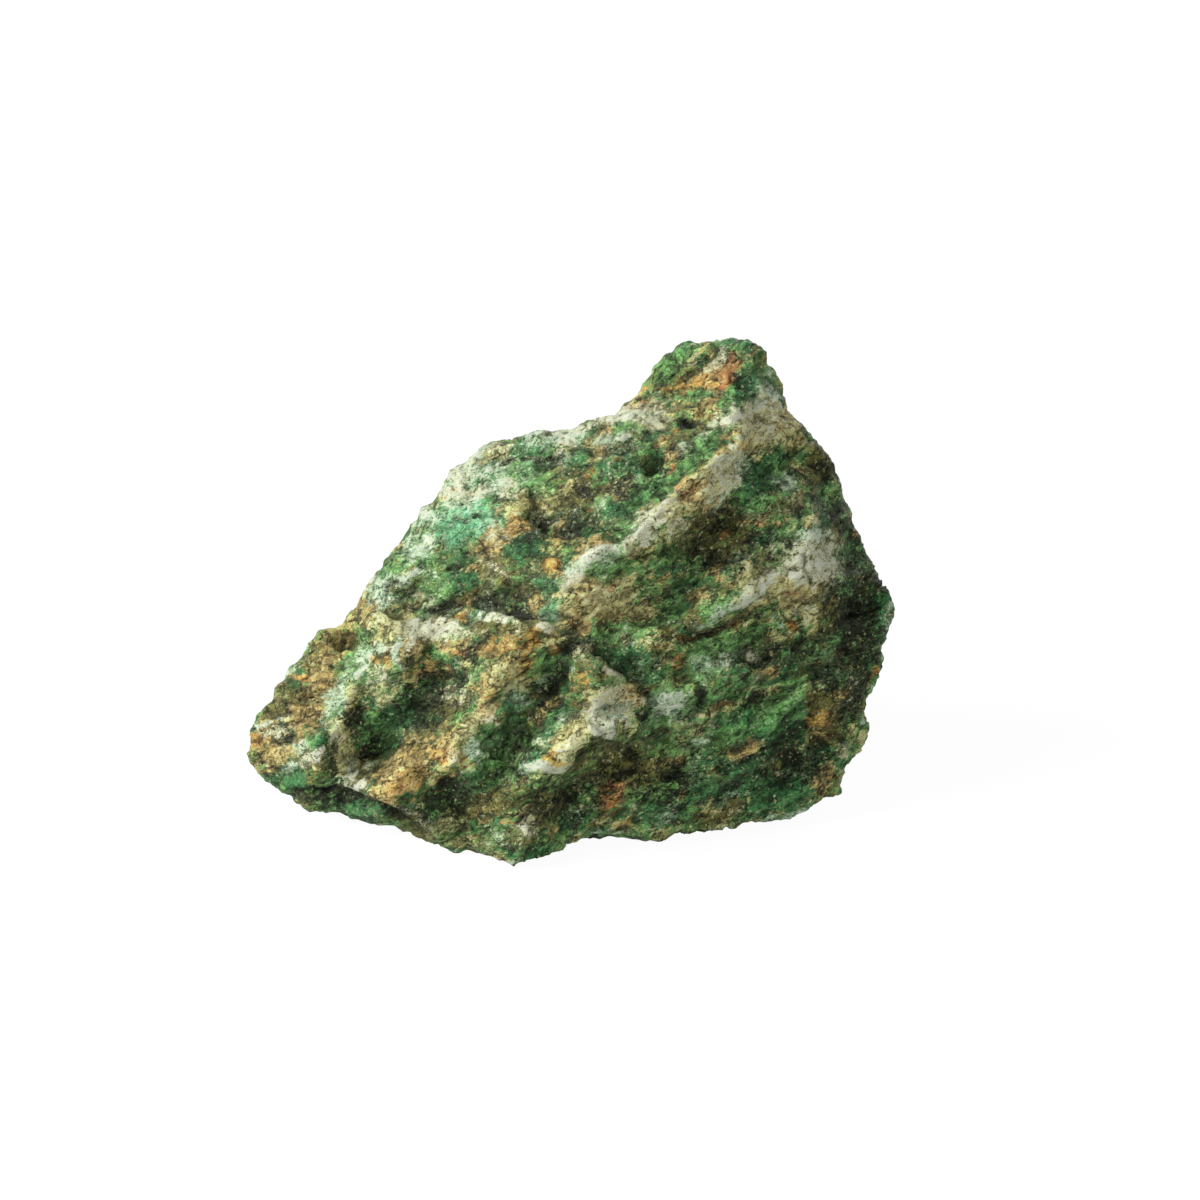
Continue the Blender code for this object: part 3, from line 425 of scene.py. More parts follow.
SWELLS = [
    Swell(*row) for row in (
        (17.5, 13.2, 3, 1.6), (22.2, 20.4, 2.6, 0.6), (3.2, -15.2, 2.6, 1), (25.2, -2, 2.2, 1.2),
        (3, -3.8, 2.6, 0.8), (-28.2, -21, 2, 0.7), (10, 31.3, 3, 0.9), (15, 31.8, 3, 0.7),
        (7.6, 29, 3, -1.2), (20.5, 28, 2.5, -0.7), (24.5, 21.5, 2, 0.2), (26.3, 18.8, 2.2, 1.2),
        (33.4, 1.8, 2.4, 1.6), (34, -11, 3, -0.9), (33, -17, 3, -1.3), (30, -22.3, 2, 1),
        (18, -28, 3, -0.5), (10.6, -28.6, 3, 1.1), (-8.6, -32.2, 3, 0.3), (-17.5, -31, 3, -0.7),
        (-2.8, 21.4, 1.8, -0.5), (22, 26.5, 2.4, -0.7), (-29.4, 2.6, 2, 0.4), (-40.6, -10.3, 2, 0.5),
        (3, -29.2, 2.5, -0.6), (-2.5, -30, 2, 0.5), (-20, -28, 4, 0.5), (-36, -24, 4, 0.5),
        (-30.5, -2.2, 2.5, 0.6), (-36.2, -5.4, 2.6, -0.8), (-24, 8, 3, -0.6), (-19, 16.5, 3, -0.5),
        (-13.5, 19.5, 3, -0.4),
    )
]


def srgb(code):
    """A linear colour from its sRGB hex code."""
    parts = [int(code[i:i + 2], 16) / 255 for i in (1, 3, 5)]
    return (*(p / 12.92 if p <= 0.04045 else ((p + 0.055) / 1.055) ** 2.4 for p in parts), 1)


def smooth_step(x):
    x = np.clip(x, 0, 1)
    return x * x * (3 - 2 * x)


def vertex_arrays(mesh):
    """The mesh's points in millimetres and its normals, as arrays."""
    points = np.empty(len(mesh.vertices) * 3, np.float32)
    mesh.vertices.foreach_get("co", points)
    normals = np.empty(len(mesh.vertices) * 3, np.float32)
    mesh.vertex_normals.foreach_get("vector", normals)
    return points.reshape(-1, 3).astype(float) / MM, normals.reshape(-1, 3).astype(float)


def set_points(mesh, points):
    mesh.vertices.foreach_set("co", (points * MM).astype(np.float32).ravel())
    mesh.update()


def in_view(points):
    """Where the points lie in the front view, in millimetres from its middle."""
    from_eye = points - np.array(VIEW_EYE) / MM
    depth = -from_eye @ np.array(VIEW_BACK)
    scale = VIEW_DISTANCE / MM / depth
    across = from_eye @ np.array(VIEW_RIGHT) * scale
    up = from_eye @ np.array(VIEW_UP) * scale
    return np.column_stack((across, up))


def oval_distance(places, oval):
    """How far out of the oval each place lies: 1 on its outline."""
    turn = math.radians(oval.turn)
    along = np.array((math.cos(turn), math.sin(turn)))
    beside = np.array((-along[1], along[0]))
    gap = places - (oval.across, oval.up)
    return np.hypot(gap @ along / oval.long, gap @ beside / oval.wide)


def offset_from_path(places, path):
    """How far each place lies from the path, and whether it lies to its left."""
    nearest = np.full(len(places), np.inf)
    left = np.zeros(len(places), bool)
    for start, end in zip(np.array(path[:-1], float), np.array(path[1:], float)):
        along = end - start
        share = np.clip((places - start) @ along / (along @ along), 0, 1)
        gap = places - (start + share[:, None] * along)
        distance = np.hypot(gap[:, 0], gap[:, 1])
        closer = distance < nearest
        nearest[closer] = distance[closer]
        side = along[0] * gap[:, 1] - along[1] * gap[:, 0]
        left[closer] = side[closer] > 0
    return nearest, left


def foliated(point):
    """The point in a space where the rock's grain is round: it is squeezed along the foliation."""
    along_normal = point.dot(FOLIATION_NORMAL)
    return point + FOLIATION_NORMAL * along_normal * (FOLIATION_STRETCH - 1)


def chips(place, size):
    """A faceted relief: each cell of the rock has a flat face of its own, tilted its own way."""
    distances, centres = noise.voronoi(place / size)
    height = 0
    weights = 0
    for distance, centre in zip(distances[:3], centres[:3]):
        weight = (distances[3] - distance) ** 3
        tilt = noise.cell_vector(centre * 7.31)
        height += weight * (place / size - centre).dot(tilt) * size
        weights += weight
    return height / max(weights, 1e-9)


def ledges(place, spacing):
    """Ledges that follow the foliation: each rises slowly over its spacing and breaks off short."""
    warp = noise.noise(place / (spacing * 2.5)) * 1.2
    level = place.dot(FOLIATION_NORMAL) / FOLIATION_STRETCH / spacing + warp
    step = math.floor(level)
    share = level - step
    rise = share / 0.8 if share < 0.8 else (1 - share) / 0.2
    size = noise.cell(Vector((step * 3.7, spacing, 0.5)))
    here = 0.5 + 0.5 * noise.noise(place / (spacing * 4) + Vector((5, 9, step)))
    return (rise - 0.5) * spacing * (0.4 + abs(size)) * here


def skin(settings):
    """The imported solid's surface as a fine and even mesh, with its facets smoothed away."""
    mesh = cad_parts[NODE].data.copy()
    bm = bmesh.new()
    bm.from_mesh(mesh)
    bmesh.ops.remove_doubles(bm, verts=bm.verts, dist=1e-6)
    bm.to_mesh(mesh)
    bm.free()
    mesh.materials.clear()
    piece = bpy.data.objects.new("rough_aventurine", mesh)
    bpy.context.scene.collection.objects.link(piece)
    remesh = piece.modifiers.new("Even skin", "REMESH")
    remesh.mode = "VOXEL"
    remesh.voxel_size = settings.skin_size
    round_off = piece.modifiers.new("Round off the facets", "SMOOTH")
    round_off.factor = 0.5
    round_off.iterations = settings.rounding
    graph = bpy.context.evaluated_depsgraph_get()
    piece.data = bpy.data.meshes.new_from_object(piece.evaluated_get(graph))
    piece.modifiers.clear()
    bpy.data.meshes.remove(mesh)
    piece.data.name = "rough_aventurine"
    return piece


def front_share(points, normals):
    """How much of what is drawn on the front view belongs on each point."""
    to_eye = np.array(VIEW_EYE) / MM - points
    to_eye /= np.linalg.norm(to_eye, axis=1)[:, None]
    return smooth_step((np.einsum("ij,ij->i", normals, to_eye) + 0.35) / 0.35)


def mineral_shares(points, normals):
    """The share of each mineral at each point: the shares add up to one.

    The rock's own unevenness sets them first, and then the patches of the front take their part.
    """
    rock = [foliated(Vector(point)) for point in points]
    # Blender seeds its noise vectors from the clock unless the script does
    noise.seed_set(NOISE_SEED)
    warp = np.array([noise.noise_vector(place / WARP_SIZE) for place in rock])[:, :2]
    places = in_view(points) + warp * WARP_REACH
    front = front_share(points, normals)
    scores = []
    drawn = []
    for number, (name, mineral) in enumerate(MINERALS.items()):
        start = Vector((number * 17.3, 4.1, 9.7))
        spread = np.array([noise.fractal(place / mineral.size + start, 0.7, 2.0, 4) for place in rock])
        mottle = np.array([noise.fractal(place / MOTTLE_SIZE - start, 0.6, 2.0, 2) for place in rock])
        scores.append(math.log(mineral.share) + UNEVENNESS * spread)
        inside = np.zeros(len(points))
        for patch in PATCHES[name]:
            nearness = smooth_step((1.75 - oval_distance(places, patch)) / 1.4)
            inside = np.maximum(inside, patch.share * nearness)
        drawn.append(inside * front * np.clip(0.85 + MOTTLING * mottle, 0, 1))
    weights = np.exp(np.array(scores) - np.max(scores, axis=0))
    weights /= weights.sum(axis=0)
    drawn = np.array(drawn)
    total = drawn.sum(axis=0)
    drawn /= np.maximum(total, 1)
    weights = weights * (1 - np.minimum(total, 1)) + drawn
    return dict(zip(MINERALS, weights))


def picks(shares):
    """The chance that a grain which is none of the minerals after this one is this one."""
    total = 0
    chances = {}
    for name, share in shares.items():
        total = total + share
        chances[name] = share / np.maximum(total, 1e-9)
    return chances


def relief(points, settings):
    """How far the fracture surface stands out at each point."""
    heights = np.empty(len(points))
    for number, point in enumerate(points):
        place = foliated(Vector(point))
        height = settings.lump_height / MM * noise.fractal(place / LUMP_SIZE, 0.8, 2.0, 4)
        height += settings.chip_slope * chips(place, CHIP_SIZE)
        height += settings.chip_slope * chips(place, SMALL_CHIP_SIZE) * SMALL_CHIP_STEEPNESS
        height += settings.ledge_slope * ledges(place, LEDGE_SPACING)
        heights[number] = height
    return heights


def front_forms(points, normals, shares):
    """The edges, pits and mineral patches of the front, as heights."""
    places = in_view(points)
    front = front_share(points, normals)
    rise = np.zeros(len(points))
    for edge in EDGES.values():
        distance, left = offset_from_path(places, edge.path)
        width = np.where(left, edge.left, edge.right)
        rise += edge.height * smooth_step(1 - distance / width)
    for pit in PITS:
        rise -= pit.depth * smooth_step(1.25 - oval_distance(places, pit))
    for swell in SWELLS:
        gap = places - (swell.across, swell.up)
        rise += swell.height * np.exp(-((np.hypot(gap[:, 0], gap[:, 1]) / swell.reach) ** 2) * 1.5)
    for name in MINERALS:
        for patch in PATCHES[name]:
            if patch.rise:
                rise += patch.rise * smooth_step(1.2 - oval_distance(places, patch))
    rise *= front
    for name, mineral in MINERALS.items():
        rise += mineral.rise * shares[name]
    return rise


def hollows(mesh, steps):
    """How deep each point lies in a hollow, from its height under the surface round it."""
    points, normals = vertex_arrays(mesh)
    pairs = np.empty(len(mesh.edges) * 2, np.int32)
    mesh.edges.foreach_get("vertices", pairs)
    a, b = pairs.reshape(-1, 2).T
    count = np.bincount(a, minlength=len(points)) + np.bincount(b, minlength=len(points))
    smooth = points.copy()
    for _ in range(steps):
        total = np.empty_like(smooth)
        for axis in range(3):
            column = smooth[:, axis]
            total[:, axis] = np.bincount(a, column[b], len(points)) + np.bincount(b, column[a], len(points))
        smooth = 0.5 * smooth + 0.5 * total / count[:, None]
    return np.einsum("ij,ij->i", smooth - points, normals)


def add_attribute(mesh, name, values):
    attribute = mesh.attributes.new(name, "FLOAT", "POINT")
    attribute.data.foreach_set("value", values.astype(np.float32))


def add(tree, kind, settings=None, links=None):
    """Adds a node with its settings. Each input, by name or number, takes a value or another's output."""
    made = tree.nodes.new(kind)
    for name, value in (settings or {}).items():
        setattr(made, name, value)
    for name, value in (links or {}).items():
        if isinstance(value, bpy.types.NodeSocket):
            tree.links.new(value, made.inputs[name])
        else:
            made.inputs[name].default_value = value
    return made


def rock_space(tree):
    """The place in millimetres, and the same place in a space where the rock's grain is round."""
    place = add(tree, "ShaderNodeTexCoord").outputs["Object"]
    place = add(tree, "ShaderNodeVectorMath", {"operation": "SCALE"}, {0: place, "Scale": 1 / MM}).outputs[0]
    normal = tuple(FOLIATION_NORMAL)
    along = add(
        tree, "ShaderNodeVectorMath", {"operation": "DOT_PRODUCT"},
        {0: place, 1: normal},
    ).outputs["Value"]
    extra = add(
        tree, "ShaderNodeMath", {"operation": "MULTIPLY"},
        {0: along, 1: FOLIATION_STRETCH - 1},
    ).outputs[0]
    shift = add(tree, "ShaderNodeVectorMath", {"operation": "SCALE"}, {0: normal, "Scale": extra}).outputs[0]
    rock = add(tree, "ShaderNodeVectorMath", {"operation": "ADD"}, {0: place, 1: shift}).outputs[0]
    swirl = add(
        tree, "ShaderNodeTexNoise", {},
        {"Vector": rock, "Scale": 1 / SWIRL_SIZE, "Detail": 3, "Roughness": 0.6},
    ).outputs["Color"]
    swirl = add(
        tree, "ShaderNodeVectorMath", {"operation": "SCALE"},
        {0: swirl, "Scale": SWIRL_SIZE},
    ).outputs[0]
    rock = add(tree, "ShaderNodeVectorMath", {"operation": "ADD"}, {0: rock, 1: swirl}).outputs[0]
    return place, rock


def mineral_colour(tree, rock, colours, blend):
    """The minerals, mixed grain by grain: each shows where its share beats a fine noise."""
    drift = add(
        tree, "ShaderNodeTexNoise", {},
        {"Vector": rock, "Scale": 1 / DRIFT_SIZE, "Detail": 4, "Roughness": 0.8},
    ).outputs["Color"]
    drift = add(tree, "ShaderNodeSeparateColor", {}, {0: drift})
    chances = [
        add(tree, "ShaderNodeMapRange", {}, {0: drift.outputs[channel], 1: 0.3, 2: 0.7}).outputs[0]
        for channel in range(3)
    ]
    first, *others = MINERALS
    colour = tuple(getattr(colours, first))
    for number, name in enumerate(others, 1):
        share = add(tree, "ShaderNodeAttribute", {"attribute_name": name}).outputs["Fac"]
        margin = add(
            tree, "ShaderNodeMath", {"operation": "SUBTRACT"},
            {0: share, 1: chances[number % 3]},
        ).outputs[0]
        mask = add(
            tree, "ShaderNodeMapRange", {"interpolation_type": "SMOOTHSTEP"},
            {0: margin, 1: -blend, 2: blend},
        ).outputs[0]
        colour = add(
            tree, "ShaderNodeMix", {"data_type": "RGBA"},
            {0: mask, 6: colour, 7: tuple(getattr(colours, name))},
        ).outputs[2]
    return colour


def aventurine_material(settings, colours):
    """Green aventurine: quartzite with green mica, broken and left rough.

    The surface was made by breaking: it runs round the grains and along the mica, and was never
    ground or polished. So the eye sees matt, crumbly rock with a small face on every grain, pale
    where quartz is clean, and glints only where a flake of mica lies bare. These glints are smooth
    mica and also a painted glint, a pale colour mixed into the flakes.
    """
    material = bpy.data.materials.new("Green aventurine quartzite, freshly broken")
    material.use_nodes = True
    tree = material.node_tree
    tree.nodes.clear()
    place, rock = rock_space(tree)
    colour = mineral_colour(tree, rock, colours, settings.blend)

    # Cells of the rock: grains as wide as real ones, the clear and cloudy crystals that each grain is
    # a clump of, and shards, which are splinters of a millimetre or two.
    grain, crystal, shard = (
        add(
            tree, "ShaderNodeTexVoronoi", {"feature": "F1"},
            {"Vector": rock, "Scale": MM / size, "Randomness": 1},
        )
        for size in (settings.grain_size, settings.crystal_size, settings.shard_size)
    )
    grain_parts, crystal_parts, shard_parts = (
        add(tree, "ShaderNodeSeparateColor", {}, {0: cells.outputs["Color"]})
        for cells in (grain, crystal, shard)
    )
    gap, shard_gap = (
        add(
            tree, "ShaderNodeTexVoronoi", {"feature": "DISTANCE_TO_EDGE"},
            {"Vector": rock, "Scale": MM / size, "Randomness": 1},
        ).outputs["Distance"]
        for size in (settings.grain_size, settings.shard_size)
    )
    crumb, broad, opening = (
        add(
            tree, "ShaderNodeTexNoise", {},
            {"Vector": rock, "Scale": 1 / size, "Detail": detail, "Roughness": roughness},
        ).outputs["Fac"]
        for size, detail, roughness in ((CRUMB_SIZE, 5, 0.85), (BROAD_SIZE, 3, 0.7), (CRACKED_SIZE, 2, 0.6))
    )

    # Cracks stand open between some of the shards, and seldom in clean quartz. They are drawn wider
    # than the hairlines that they are, so that they show.
    pale = add(tree, "ShaderNodeAttribute", {"attribute_name": "pale"}).outputs["Fac"]
    opening = add(
        tree, "ShaderNodeMath", {"operation": "MULTIPLY_ADD"},
        {0: pale, 1: -0.18, 2: opening},
    ).outputs[0]
    opening = add(
        tree, "ShaderNodeMapRange", {},
        {0: opening, 1: 0.46, 2: 0.62, 3: 0.0, 4: 0.15},
    ).outputs[0]
    crack = add(
        tree, "ShaderNodeMath", {"operation": "SUBTRACT"},
        {0: opening, 1: shard_gap},
    ).outputs[0]
    crack = add(tree, "ShaderNodeMapRange", {}, {0: crack, 1: -0.02, 2: 0.05}).outputs[0]

    light = settings.lightness
    for part, strength in (
        (broad, settings.broad_contrast),
        (shard_parts.outputs[0], settings.shard_contrast),
        (crumb, settings.crumb_contrast),
        (grain_parts.outputs[2], settings.grain_contrast),
        (crystal_parts.outputs[0], settings.crystal_contrast),
    ):
        from_middle = add(
            tree, "ShaderNodeMath", {"operation": "SUBTRACT"},
            {0: part, 1: 0.5},
        ).outputs[0]
        light = add(
            tree, "ShaderNodeMath", {"operation": "MULTIPLY_ADD"},
            {0: from_middle, 1: strength, 2: light},
        ).outputs[0]
    light = add(tree, "ShaderNodeClamp", {}, {"Value": light, "Min": DARKEST, "Max": LIGHTEST}).outputs[0]

    # the seams between the grains and the cracks are dark; the hollows get painted shade and the crests
    # painted light
    depth = add(tree, "ShaderNodeAttribute", {"attribute_name": "hollow"}).outputs["Fac"]
    for part, start, end, at_start, at_end in (
        (gap, 0, 0.15, 0.65, 1),
        (crack, 0, 1, 1, 0.3),
        (depth, -0.18, 0.18, 1.35, 0.3),
    ):
        shade = add(
            tree, "ShaderNodeMapRange", {},
            {0: part, 1: start, 2: end, 3: at_start, 4: at_end},
        ).outputs[0]
        light = add(tree, "ShaderNodeMath", {"operation": "MULTIPLY"}, {0: light, 1: shade}).outputs[0]
    colour = add(
        tree, "ShaderNodeVectorMath", {"operation": "SCALE"},
        {0: colour, "Scale": light},
    ).outputs[0]
    colour = add(
        tree, "ShaderNodeVectorMath", {"operation": "MINIMUM"},
        {0: colour, 1: WHITEST_GRAIN},
    ).outputs[0]

    # wisps: thin blades of clear quartz, painted pale as a glint of the light that they catch
    combed = add(
        tree, "ShaderNodeMapping", {},
        {"Vector": rock, "Rotation": (0.3, math.radians(40), 0.2), "Scale": (0.4, 1, 1)},
    ).outputs[0]
    blade_with_painted_glint = add(
        tree, "ShaderNodeTexNoise", {},
        {"Vector": combed, "Scale": 1 / BLADE_SIZE, "Detail": 3, "Roughness": 0.65, "Distortion": 1.2},
    ).outputs["Fac"]
    blade_with_painted_glint = add(tree, "ShaderNodeMath", {"operation": "SUBTRACT"}, {0: blade_with_painted_glint, 1: 0.5}).outputs[0]
    blade_with_painted_glint = add(tree, "ShaderNodeMath", {"operation": "ABSOLUTE"}, {0: blade_with_painted_glint}).outputs[0]
    blade_with_painted_glint = add(tree, "ShaderNodeMapRange", {}, {0: blade_with_painted_glint, 1: 0.0, 2: 0.045, 3: 1.0, 4: 0.0}).outputs[0]
    clear = add(tree, "ShaderNodeMapRange", {}, {0: pale, 1: 0.0, 2: 1.0, 3: 0.05, 4: 0.7}).outputs[0]
    blade_with_painted_glint = add(tree, "ShaderNodeMath", {"operation": "MULTIPLY"}, {0: blade_with_painted_glint, 1: clear}).outputs[0]
    colour = add(
        tree, "ShaderNodeMix", {"data_type": "RGBA"},
        {0: blade_with_painted_glint, 6: colour, 7: tuple(colours.blade_with_painted_glint)},
    ).outputs[2]

    # Bare mica flakes are smooth, and their glint is also painted: they are mixed towards a pale colour.
    # They are drawn at the coarse end of their real width of 0.1 to 0.3 mm, because finer ones
    # wouldn't show.
    fleck = add(
        tree, "ShaderNodeTexVoronoi", {"feature": "F1"},
        {"Vector": place, "Scale": MM / settings.flake_size, "Randomness": 1},
    )
    fleck_parts = add(tree, "ShaderNodeSeparateColor", {}, {0: fleck.outputs["Color"]})
    flake = add(
        tree, "ShaderNodeMapRange", {},
        {0: fleck_parts.outputs[0], 1: 1 - settings.flake_share, 2: 1.01 - settings.flake_share},
    ).outputs[0]
    cluster = add(tree, "ShaderNodeMapRange", {}, {0: broad, 1: 0.4, 2: 0.62, 3: 0.1, 4: 0.55}).outputs[0]
    painted_flake_glint = add(tree, "ShaderNodeMath", {"operation": "MULTIPLY"}, {0: flake, 1: cluster}).outputs[0]
    colour = add(
        tree, "ShaderNodeMix", {"data_type": "RGBA"},
        {0: painted_flake_glint, 6: colour, 7: tuple(colours.flake)},
    ).outputs[2]
    rough = add(
        tree, "ShaderNodeMapRange", {},
        {0: grain_parts.outputs[1], 1: 0, 2: 1, 3: 0.35, 4: 0.7},
    ).outputs[0]
    rough = add(tree, "ShaderNodeMix", {"data_type": "FLOAT"}, {0: flake, 2: rough, 3: 0.18}).outputs[0]

    # each grain and each shard has a flat face, tilted its own way
    facet, shard_face = (
        add(
            tree, "ShaderNodeVectorMath", {"operation": "DOT_PRODUCT"},
            {
                0: add(
                    tree, "ShaderNodeVectorMath", {"operation": "SUBTRACT"},
                    {0: rock, 1: cells.outputs["Position"]},
                ).outputs[0],
                1: add(
                    tree, "ShaderNodeVectorMath", {"operation": "SUBTRACT"},
                    {0: cells.outputs["Color"], 1: (0.5, 0.5, 0.5)},
                ).outputs[0],
            },
        ).outputs["Value"]
        for cells in (grain, shard)
    )
    groove = add(tree, "ShaderNodeMapRange", {}, {0: gap, 1: 0.0, 2: 0.15, 3: -0.06, 4: 0}).outputs[0]
    height = facet
    for part, strength in (
        (crystal_parts.outputs[1], 0.08),
        (crumb, 0.8),
        (groove, 1),
        (shard_face, 0.7),
        (crack, -0.25),
    ):
        height = add(
            tree, "ShaderNodeMath", {"operation": "MULTIPLY_ADD"},
            {0: part, 1: strength, 2: height},
        ).outputs[0]
    bump = add(
        tree, "ShaderNodeBump", {},
        {"Strength": settings.bump, "Distance": MM, "Height": height},
    ).outputs[0]

    surface = add(
        tree, "ShaderNodeBsdfPrincipled", {},
        {"Base Color": colour, "Roughness": rough, "Normal": bump, "IOR": 1.55, "Specular IOR Level": 0.15},
    )
    add(tree, "ShaderNodeOutputMaterial", {}, {"Surface": surface.outputs[0]})
    return material


def size_property(name, description, millimetres):
    return FloatProperty(
        name=name, description=description, default=millimetres * MM, min=0, unit="LENGTH", precision=5
    )


def share_property(name, description, share, highest=5):
    return FloatProperty(name=name, description=description, default=share, min=0, max=highest)


def power_property(name, description, watts):
    return FloatProperty(name=name, description=description, default=watts, min=0, unit="POWER")


def colour_property(name, description, code):
    return FloatVectorProperty(
        name=name, description=description, default=srgb(code), size=4, min=0, max=1, subtype="COLOR"
    )


class AventurineStoneSettings(bpy.types.PropertyGroup):
    """The stone's surface"""

    skin_size: size_property("Skin size", "Width of the skin's faces", 0.405)
    rounding: IntProperty(
        name="Rounding", description="How often the solid's facets are smoothed", default=12, min=0
    )
    lump_height: size_property("Lump height", "Height of the lumps", 0.26)
    chip_slope: share_property("Chip slope", "How steeply the chips are tilted", 0.17)
    ledge_slope: share_property("Ledge slope", "How steeply the ledges rise", 0.16)
    shard_size: size_property("Shard size", "Width of a splinter of the rock", 1.5)
    grain_size: size_property("Grain size", "Width of a quartz grain", 0.55)
    crystal_size: size_property("Crystal size", "Width of a crystal in a grain", 0.24)
    flake_size: size_property("Flake size", "Width of a bright mica flake", 0.28)
    flake_share: share_property("Flake share", "Share of the bright mica flakes", 0.04, 1)
    lightness: share_property("Lightness", "Lightness of the minerals", 1.38)
    broad_contrast: share_property("Broad contrast", "How much wide stretches differ", 2.2)
    shard_contrast: share_property("Shard contrast", "How much the shards differ", 0.6)
    crumb_contrast: share_property("Crumb contrast", "How much crumbs differ", 4.1)
    grain_contrast: share_property("Grain contrast", "How much grains differ", 0.5)
    crystal_contrast: share_property("Crystal contrast", "How much the crystals in a grain differ", 1.4)
    bump: share_property("Fine relief", "How far the fine grain stands out", 0.8, 1)
    blend: share_property("Blend", "How far the minerals run into each other", 0.2, 1)


class AventurineColourSettings(bpy.types.PropertyGroup):
    """The colours of the rock's minerals"""

    leaf: colour_property("Leaf green", "Green mica and quartz in about equal parts", "#547E44")
    emerald: colour_property("Emerald", "Almost pure green mica", "#305E34")
    olive: colour_property("Olive", "Weathered mica", "#56542A")
    # dark mica, and also painted shade: the dark patches at the stone's right end stand for the shade on that
    # end
    dark: colour_property("Dark", "Dark mica, and the dirt in the hollows", "#1A2610")
    tan: colour_property("Tan", "Quartz that iron has stained", "#A08A54")
    khaki: colour_property("Khaki", "Quartz with a little iron stain and mica", "#B4AC70")
    ochre: colour_property("Ochre", "Earthy iron stain", "#AA8240")
    rust: colour_property("Rust", "The strongest iron stain", "#9C6C40")
    mint: colour_property("Mint", "Milky quartz with a little green mica", "#AAC8A2")
    glass: colour_property("Glass green", "Clear quartz over green mica", "#5C9E72")
    cream: colour_property("Cream", "Milky quartz", "#D4CFA6")
    grey: colour_property("Grey", "Quartz and dark mica, grain by grain", "#98946A")
    # painted glint: the blades' pale colour stands for clear quartz and for the light that its edges catch
    blade_with_painted_glint: colour_property("Blade", "Thin edges of clear quartz", "#CAD0A8")
    # painted glint: the flakes' pale colour stands for the light that they reflect
    flake: colour_property("Flake", "Mica flakes that catch the light", "#C8D0A4")


class AventurineStageSettings(bpy.types.PropertyGroup):
    """The studio's lights"""

    key_power: power_property("Key light", "Power of the soft box at the left", 22)
    front_power: power_property("Front light", "Power of the soft box in front", 9)
    back_power: power_property("Back light", "Power of the soft box behind the stone", 6)
    fill: share_property("Fill light", "Strength of the light from all round", 0.12)


class OBJECT_OT_aventurine_stone(bpy.types.Operator):
    """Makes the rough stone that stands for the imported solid"""

    bl_idname = "object.aventurine_stone"
    bl_label = "Rough Stone"

    def execute(self, context):
        settings = context.scene.aventurine_stone
        colours = context.scene.aventurine_colours
        piece = skin(settings)
        mesh = piece.data
        points, normals = vertex_arrays(mesh)
        shares = mineral_shares(points, normals)
        heights = relief(points, settings) + front_forms(points, normals, shares)
        # the flat spot stays as it is
        heights *= smooth_step((points[:, 2] + (normals[:, 2] > -0.9) * 2) / FLAT_FADE)
        points = points + normals * heights[:, None]
        points[:, 2] = np.maximum(points[:, 2], 0)
        set_points(mesh, points)
        # how deep each point lies in a hollow, which the material turns into painted shade in the hollows and
        # painted light on the crests
        add_attribute(mesh, "hollow", hollows(mesh, HOLLOW_STEPS))
        add_attribute(mesh, "pale", sum(shares[name] * part for name, part in CLEAR_QUARTZ.items()))
        for name, chance in picks(shares).items():
            add_attribute(mesh, name, chance)
        mesh.shade_smooth()
        mesh.materials.append(aventurine_material(settings, colours))
        mesh.calc_loop_triangles()
        if len(mesh.loop_triangles) > TRIANGLE_LIMIT:
            raise RuntimeError(f"The stone has {len(mesh.loop_triangles)} triangles: widen its skin size")
        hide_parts(NODE)
        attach(piece, BODY)
        return {"FINISHED"}


def soft_box(scene, name, towards, power):
    """A large soft box that stands this way from the stone and faces it."""
    lamp = bpy.data.lights.new(name, "AREA")
    lamp.size = BOX_SIZE
    lamp.energy = power
    box = bpy.data.objects.new(name, lamp)
    box.location = Vector((0, 0, CAD_BOX[1][2] / 2)) + towards.normalized() * BOX_DISTANCE
    box.rotation_euler = towards.to_track_quat("Z", "Y").to_euler()
    scene.collection.objects.link(box)


def light_table():
    """Opal acrylic, lit from below: white to the camera, while it throws little light on the stone."""
    material = bpy.data.materials.new("Opal acrylic light table, cast")
    material.use_nodes = True
    tree = material.node_tree
    tree.nodes.clear()
    path = add(tree, "ShaderNodeLightPath").outputs["Is Camera Ray"]
    share = add(tree, "ShaderNodeMath", {"operation": "MULTIPLY"}, {0: path, 1: 0.75}).outputs[0]
    matt = add(tree, "ShaderNodeBsdfDiffuse", {}, {"Color": srgb("#909090")})
    glow = add(tree, "ShaderNodeEmission", {}, {"Color": (1, 1, 1, 1), "Strength": TABLE_GLOW})
    mix = add(tree, "ShaderNodeMixShader", {}, {0: share, 1: matt.outputs[0], 2: glow.outputs[0]})
    add(tree, "ShaderNodeOutputMaterial", {}, {"Surface": mix.outputs[0]})
    return material


def white_room(fill):
    """A world that is white to the camera and gives the stone only the fill light."""
    world = bpy.data.worlds.new("white studio")
    world.use_nodes = True
    tree = world.node_tree
    tree.nodes.clear()
    path = add(tree, "ShaderNodeLightPath").outputs["Is Camera Ray"]
    strength = add(
        tree, "ShaderNodeMix", {"data_type": "FLOAT"},
        {0: path, 2: fill, 3: TABLE_GLOW},
    ).outputs[0]
    glow = add(tree, "ShaderNodeBackground", {}, {"Color": (1, 1, 1, 1), "Strength": strength})
    add(tree, "ShaderNodeOutputWorld", {}, {"Surface": glow.outputs[0]})
    return world


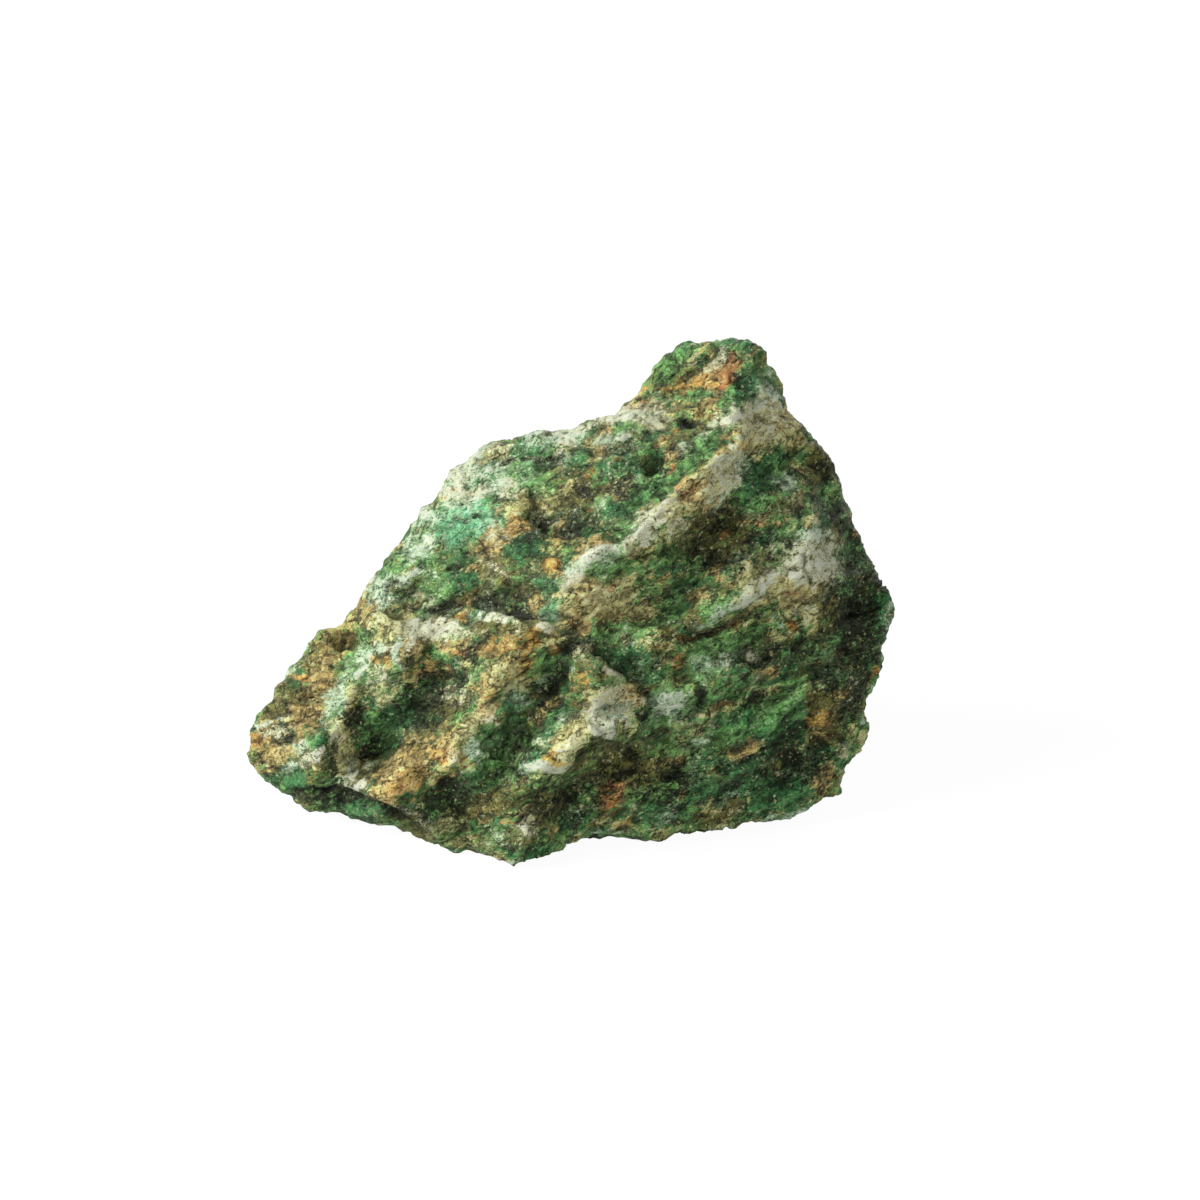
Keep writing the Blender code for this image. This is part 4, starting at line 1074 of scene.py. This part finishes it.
class SCENE_OT_aventurine_stage(bpy.types.Operator):
    """Makes the white floor, the lights and the camera"""

    bl_idname = "scene.aventurine_stage"
    bl_label = "Studio"

    def execute(self, context):
        scene = context.scene
        settings = scene.aventurine_stage
        bpy.ops.mesh.primitive_plane_add(size=6)
        floor = context.object
        floor.name = "studio_floor"
        floor.data.materials.append(light_table())

        soft_box(scene, "key", Vector((-1, 0, 0.52)), settings.key_power)
        soft_box(scene, "front", Vector((0.15, -1, 0.3)), settings.front_power)
        soft_box(scene, "back", Vector((0.5, 1, 0.4)), settings.back_power)
        scene.world = white_room(settings.fill)
        scene.view_settings.view_transform = "Standard"

        camera = bpy.data.objects.new("camera", bpy.data.cameras.new("camera"))
        camera.data.lens = VIEW_LENS
        camera.data.sensor_width = 36
        camera.data.clip_start = 0.01
        camera.location = VIEW_EYE
        camera.rotation_euler = VIEW_BACK.to_track_quat("Z", "Y").to_euler()
        scene.collection.objects.link(camera)
        scene.camera = camera
        return {"FINISHED"}


class VIEW3D_PT_aventurine(bpy.types.Panel):
    """The stone's and the studio's settings"""

    bl_label = "Rough Green Aventurine"
    bl_space_type = "VIEW_3D"
    bl_region_type = "UI"
    bl_category = "Aventurine"

    def draw(self, context):
        scene = context.scene
        for operator, groups in (
            (OBJECT_OT_aventurine_stone, (scene.aventurine_stone, scene.aventurine_colours)),
            (SCENE_OT_aventurine_stage, (scene.aventurine_stage,)),
        ):
            box = self.layout.box()
            box.operator(operator.bl_idname)
            for group in groups:
                for name in group.__annotations__:
                    box.prop(group, name)


CLASSES = (
    AventurineStoneSettings,
    AventurineColourSettings,
    AventurineStageSettings,
    OBJECT_OT_aventurine_stone,
    SCENE_OT_aventurine_stage,
    VIEW3D_PT_aventurine,
)


def register():
    for cls in CLASSES:
        bpy.utils.register_class(cls)
    bpy.types.Scene.aventurine_stone = PointerProperty(type=AventurineStoneSettings)
    bpy.types.Scene.aventurine_colours = PointerProperty(type=AventurineColourSettings)
    bpy.types.Scene.aventurine_stage = PointerProperty(type=AventurineStageSettings)


def unregister():
    del bpy.types.Scene.aventurine_stage
    del bpy.types.Scene.aventurine_colours
    del bpy.types.Scene.aventurine_stone
    for cls in reversed(CLASSES):
        bpy.utils.unregister_class(cls)


def main():
    register()
    bpy.ops.scene.aventurine_stage()
    bpy.ops.object.aventurine_stone()


if __name__ == "__main__":
    main()
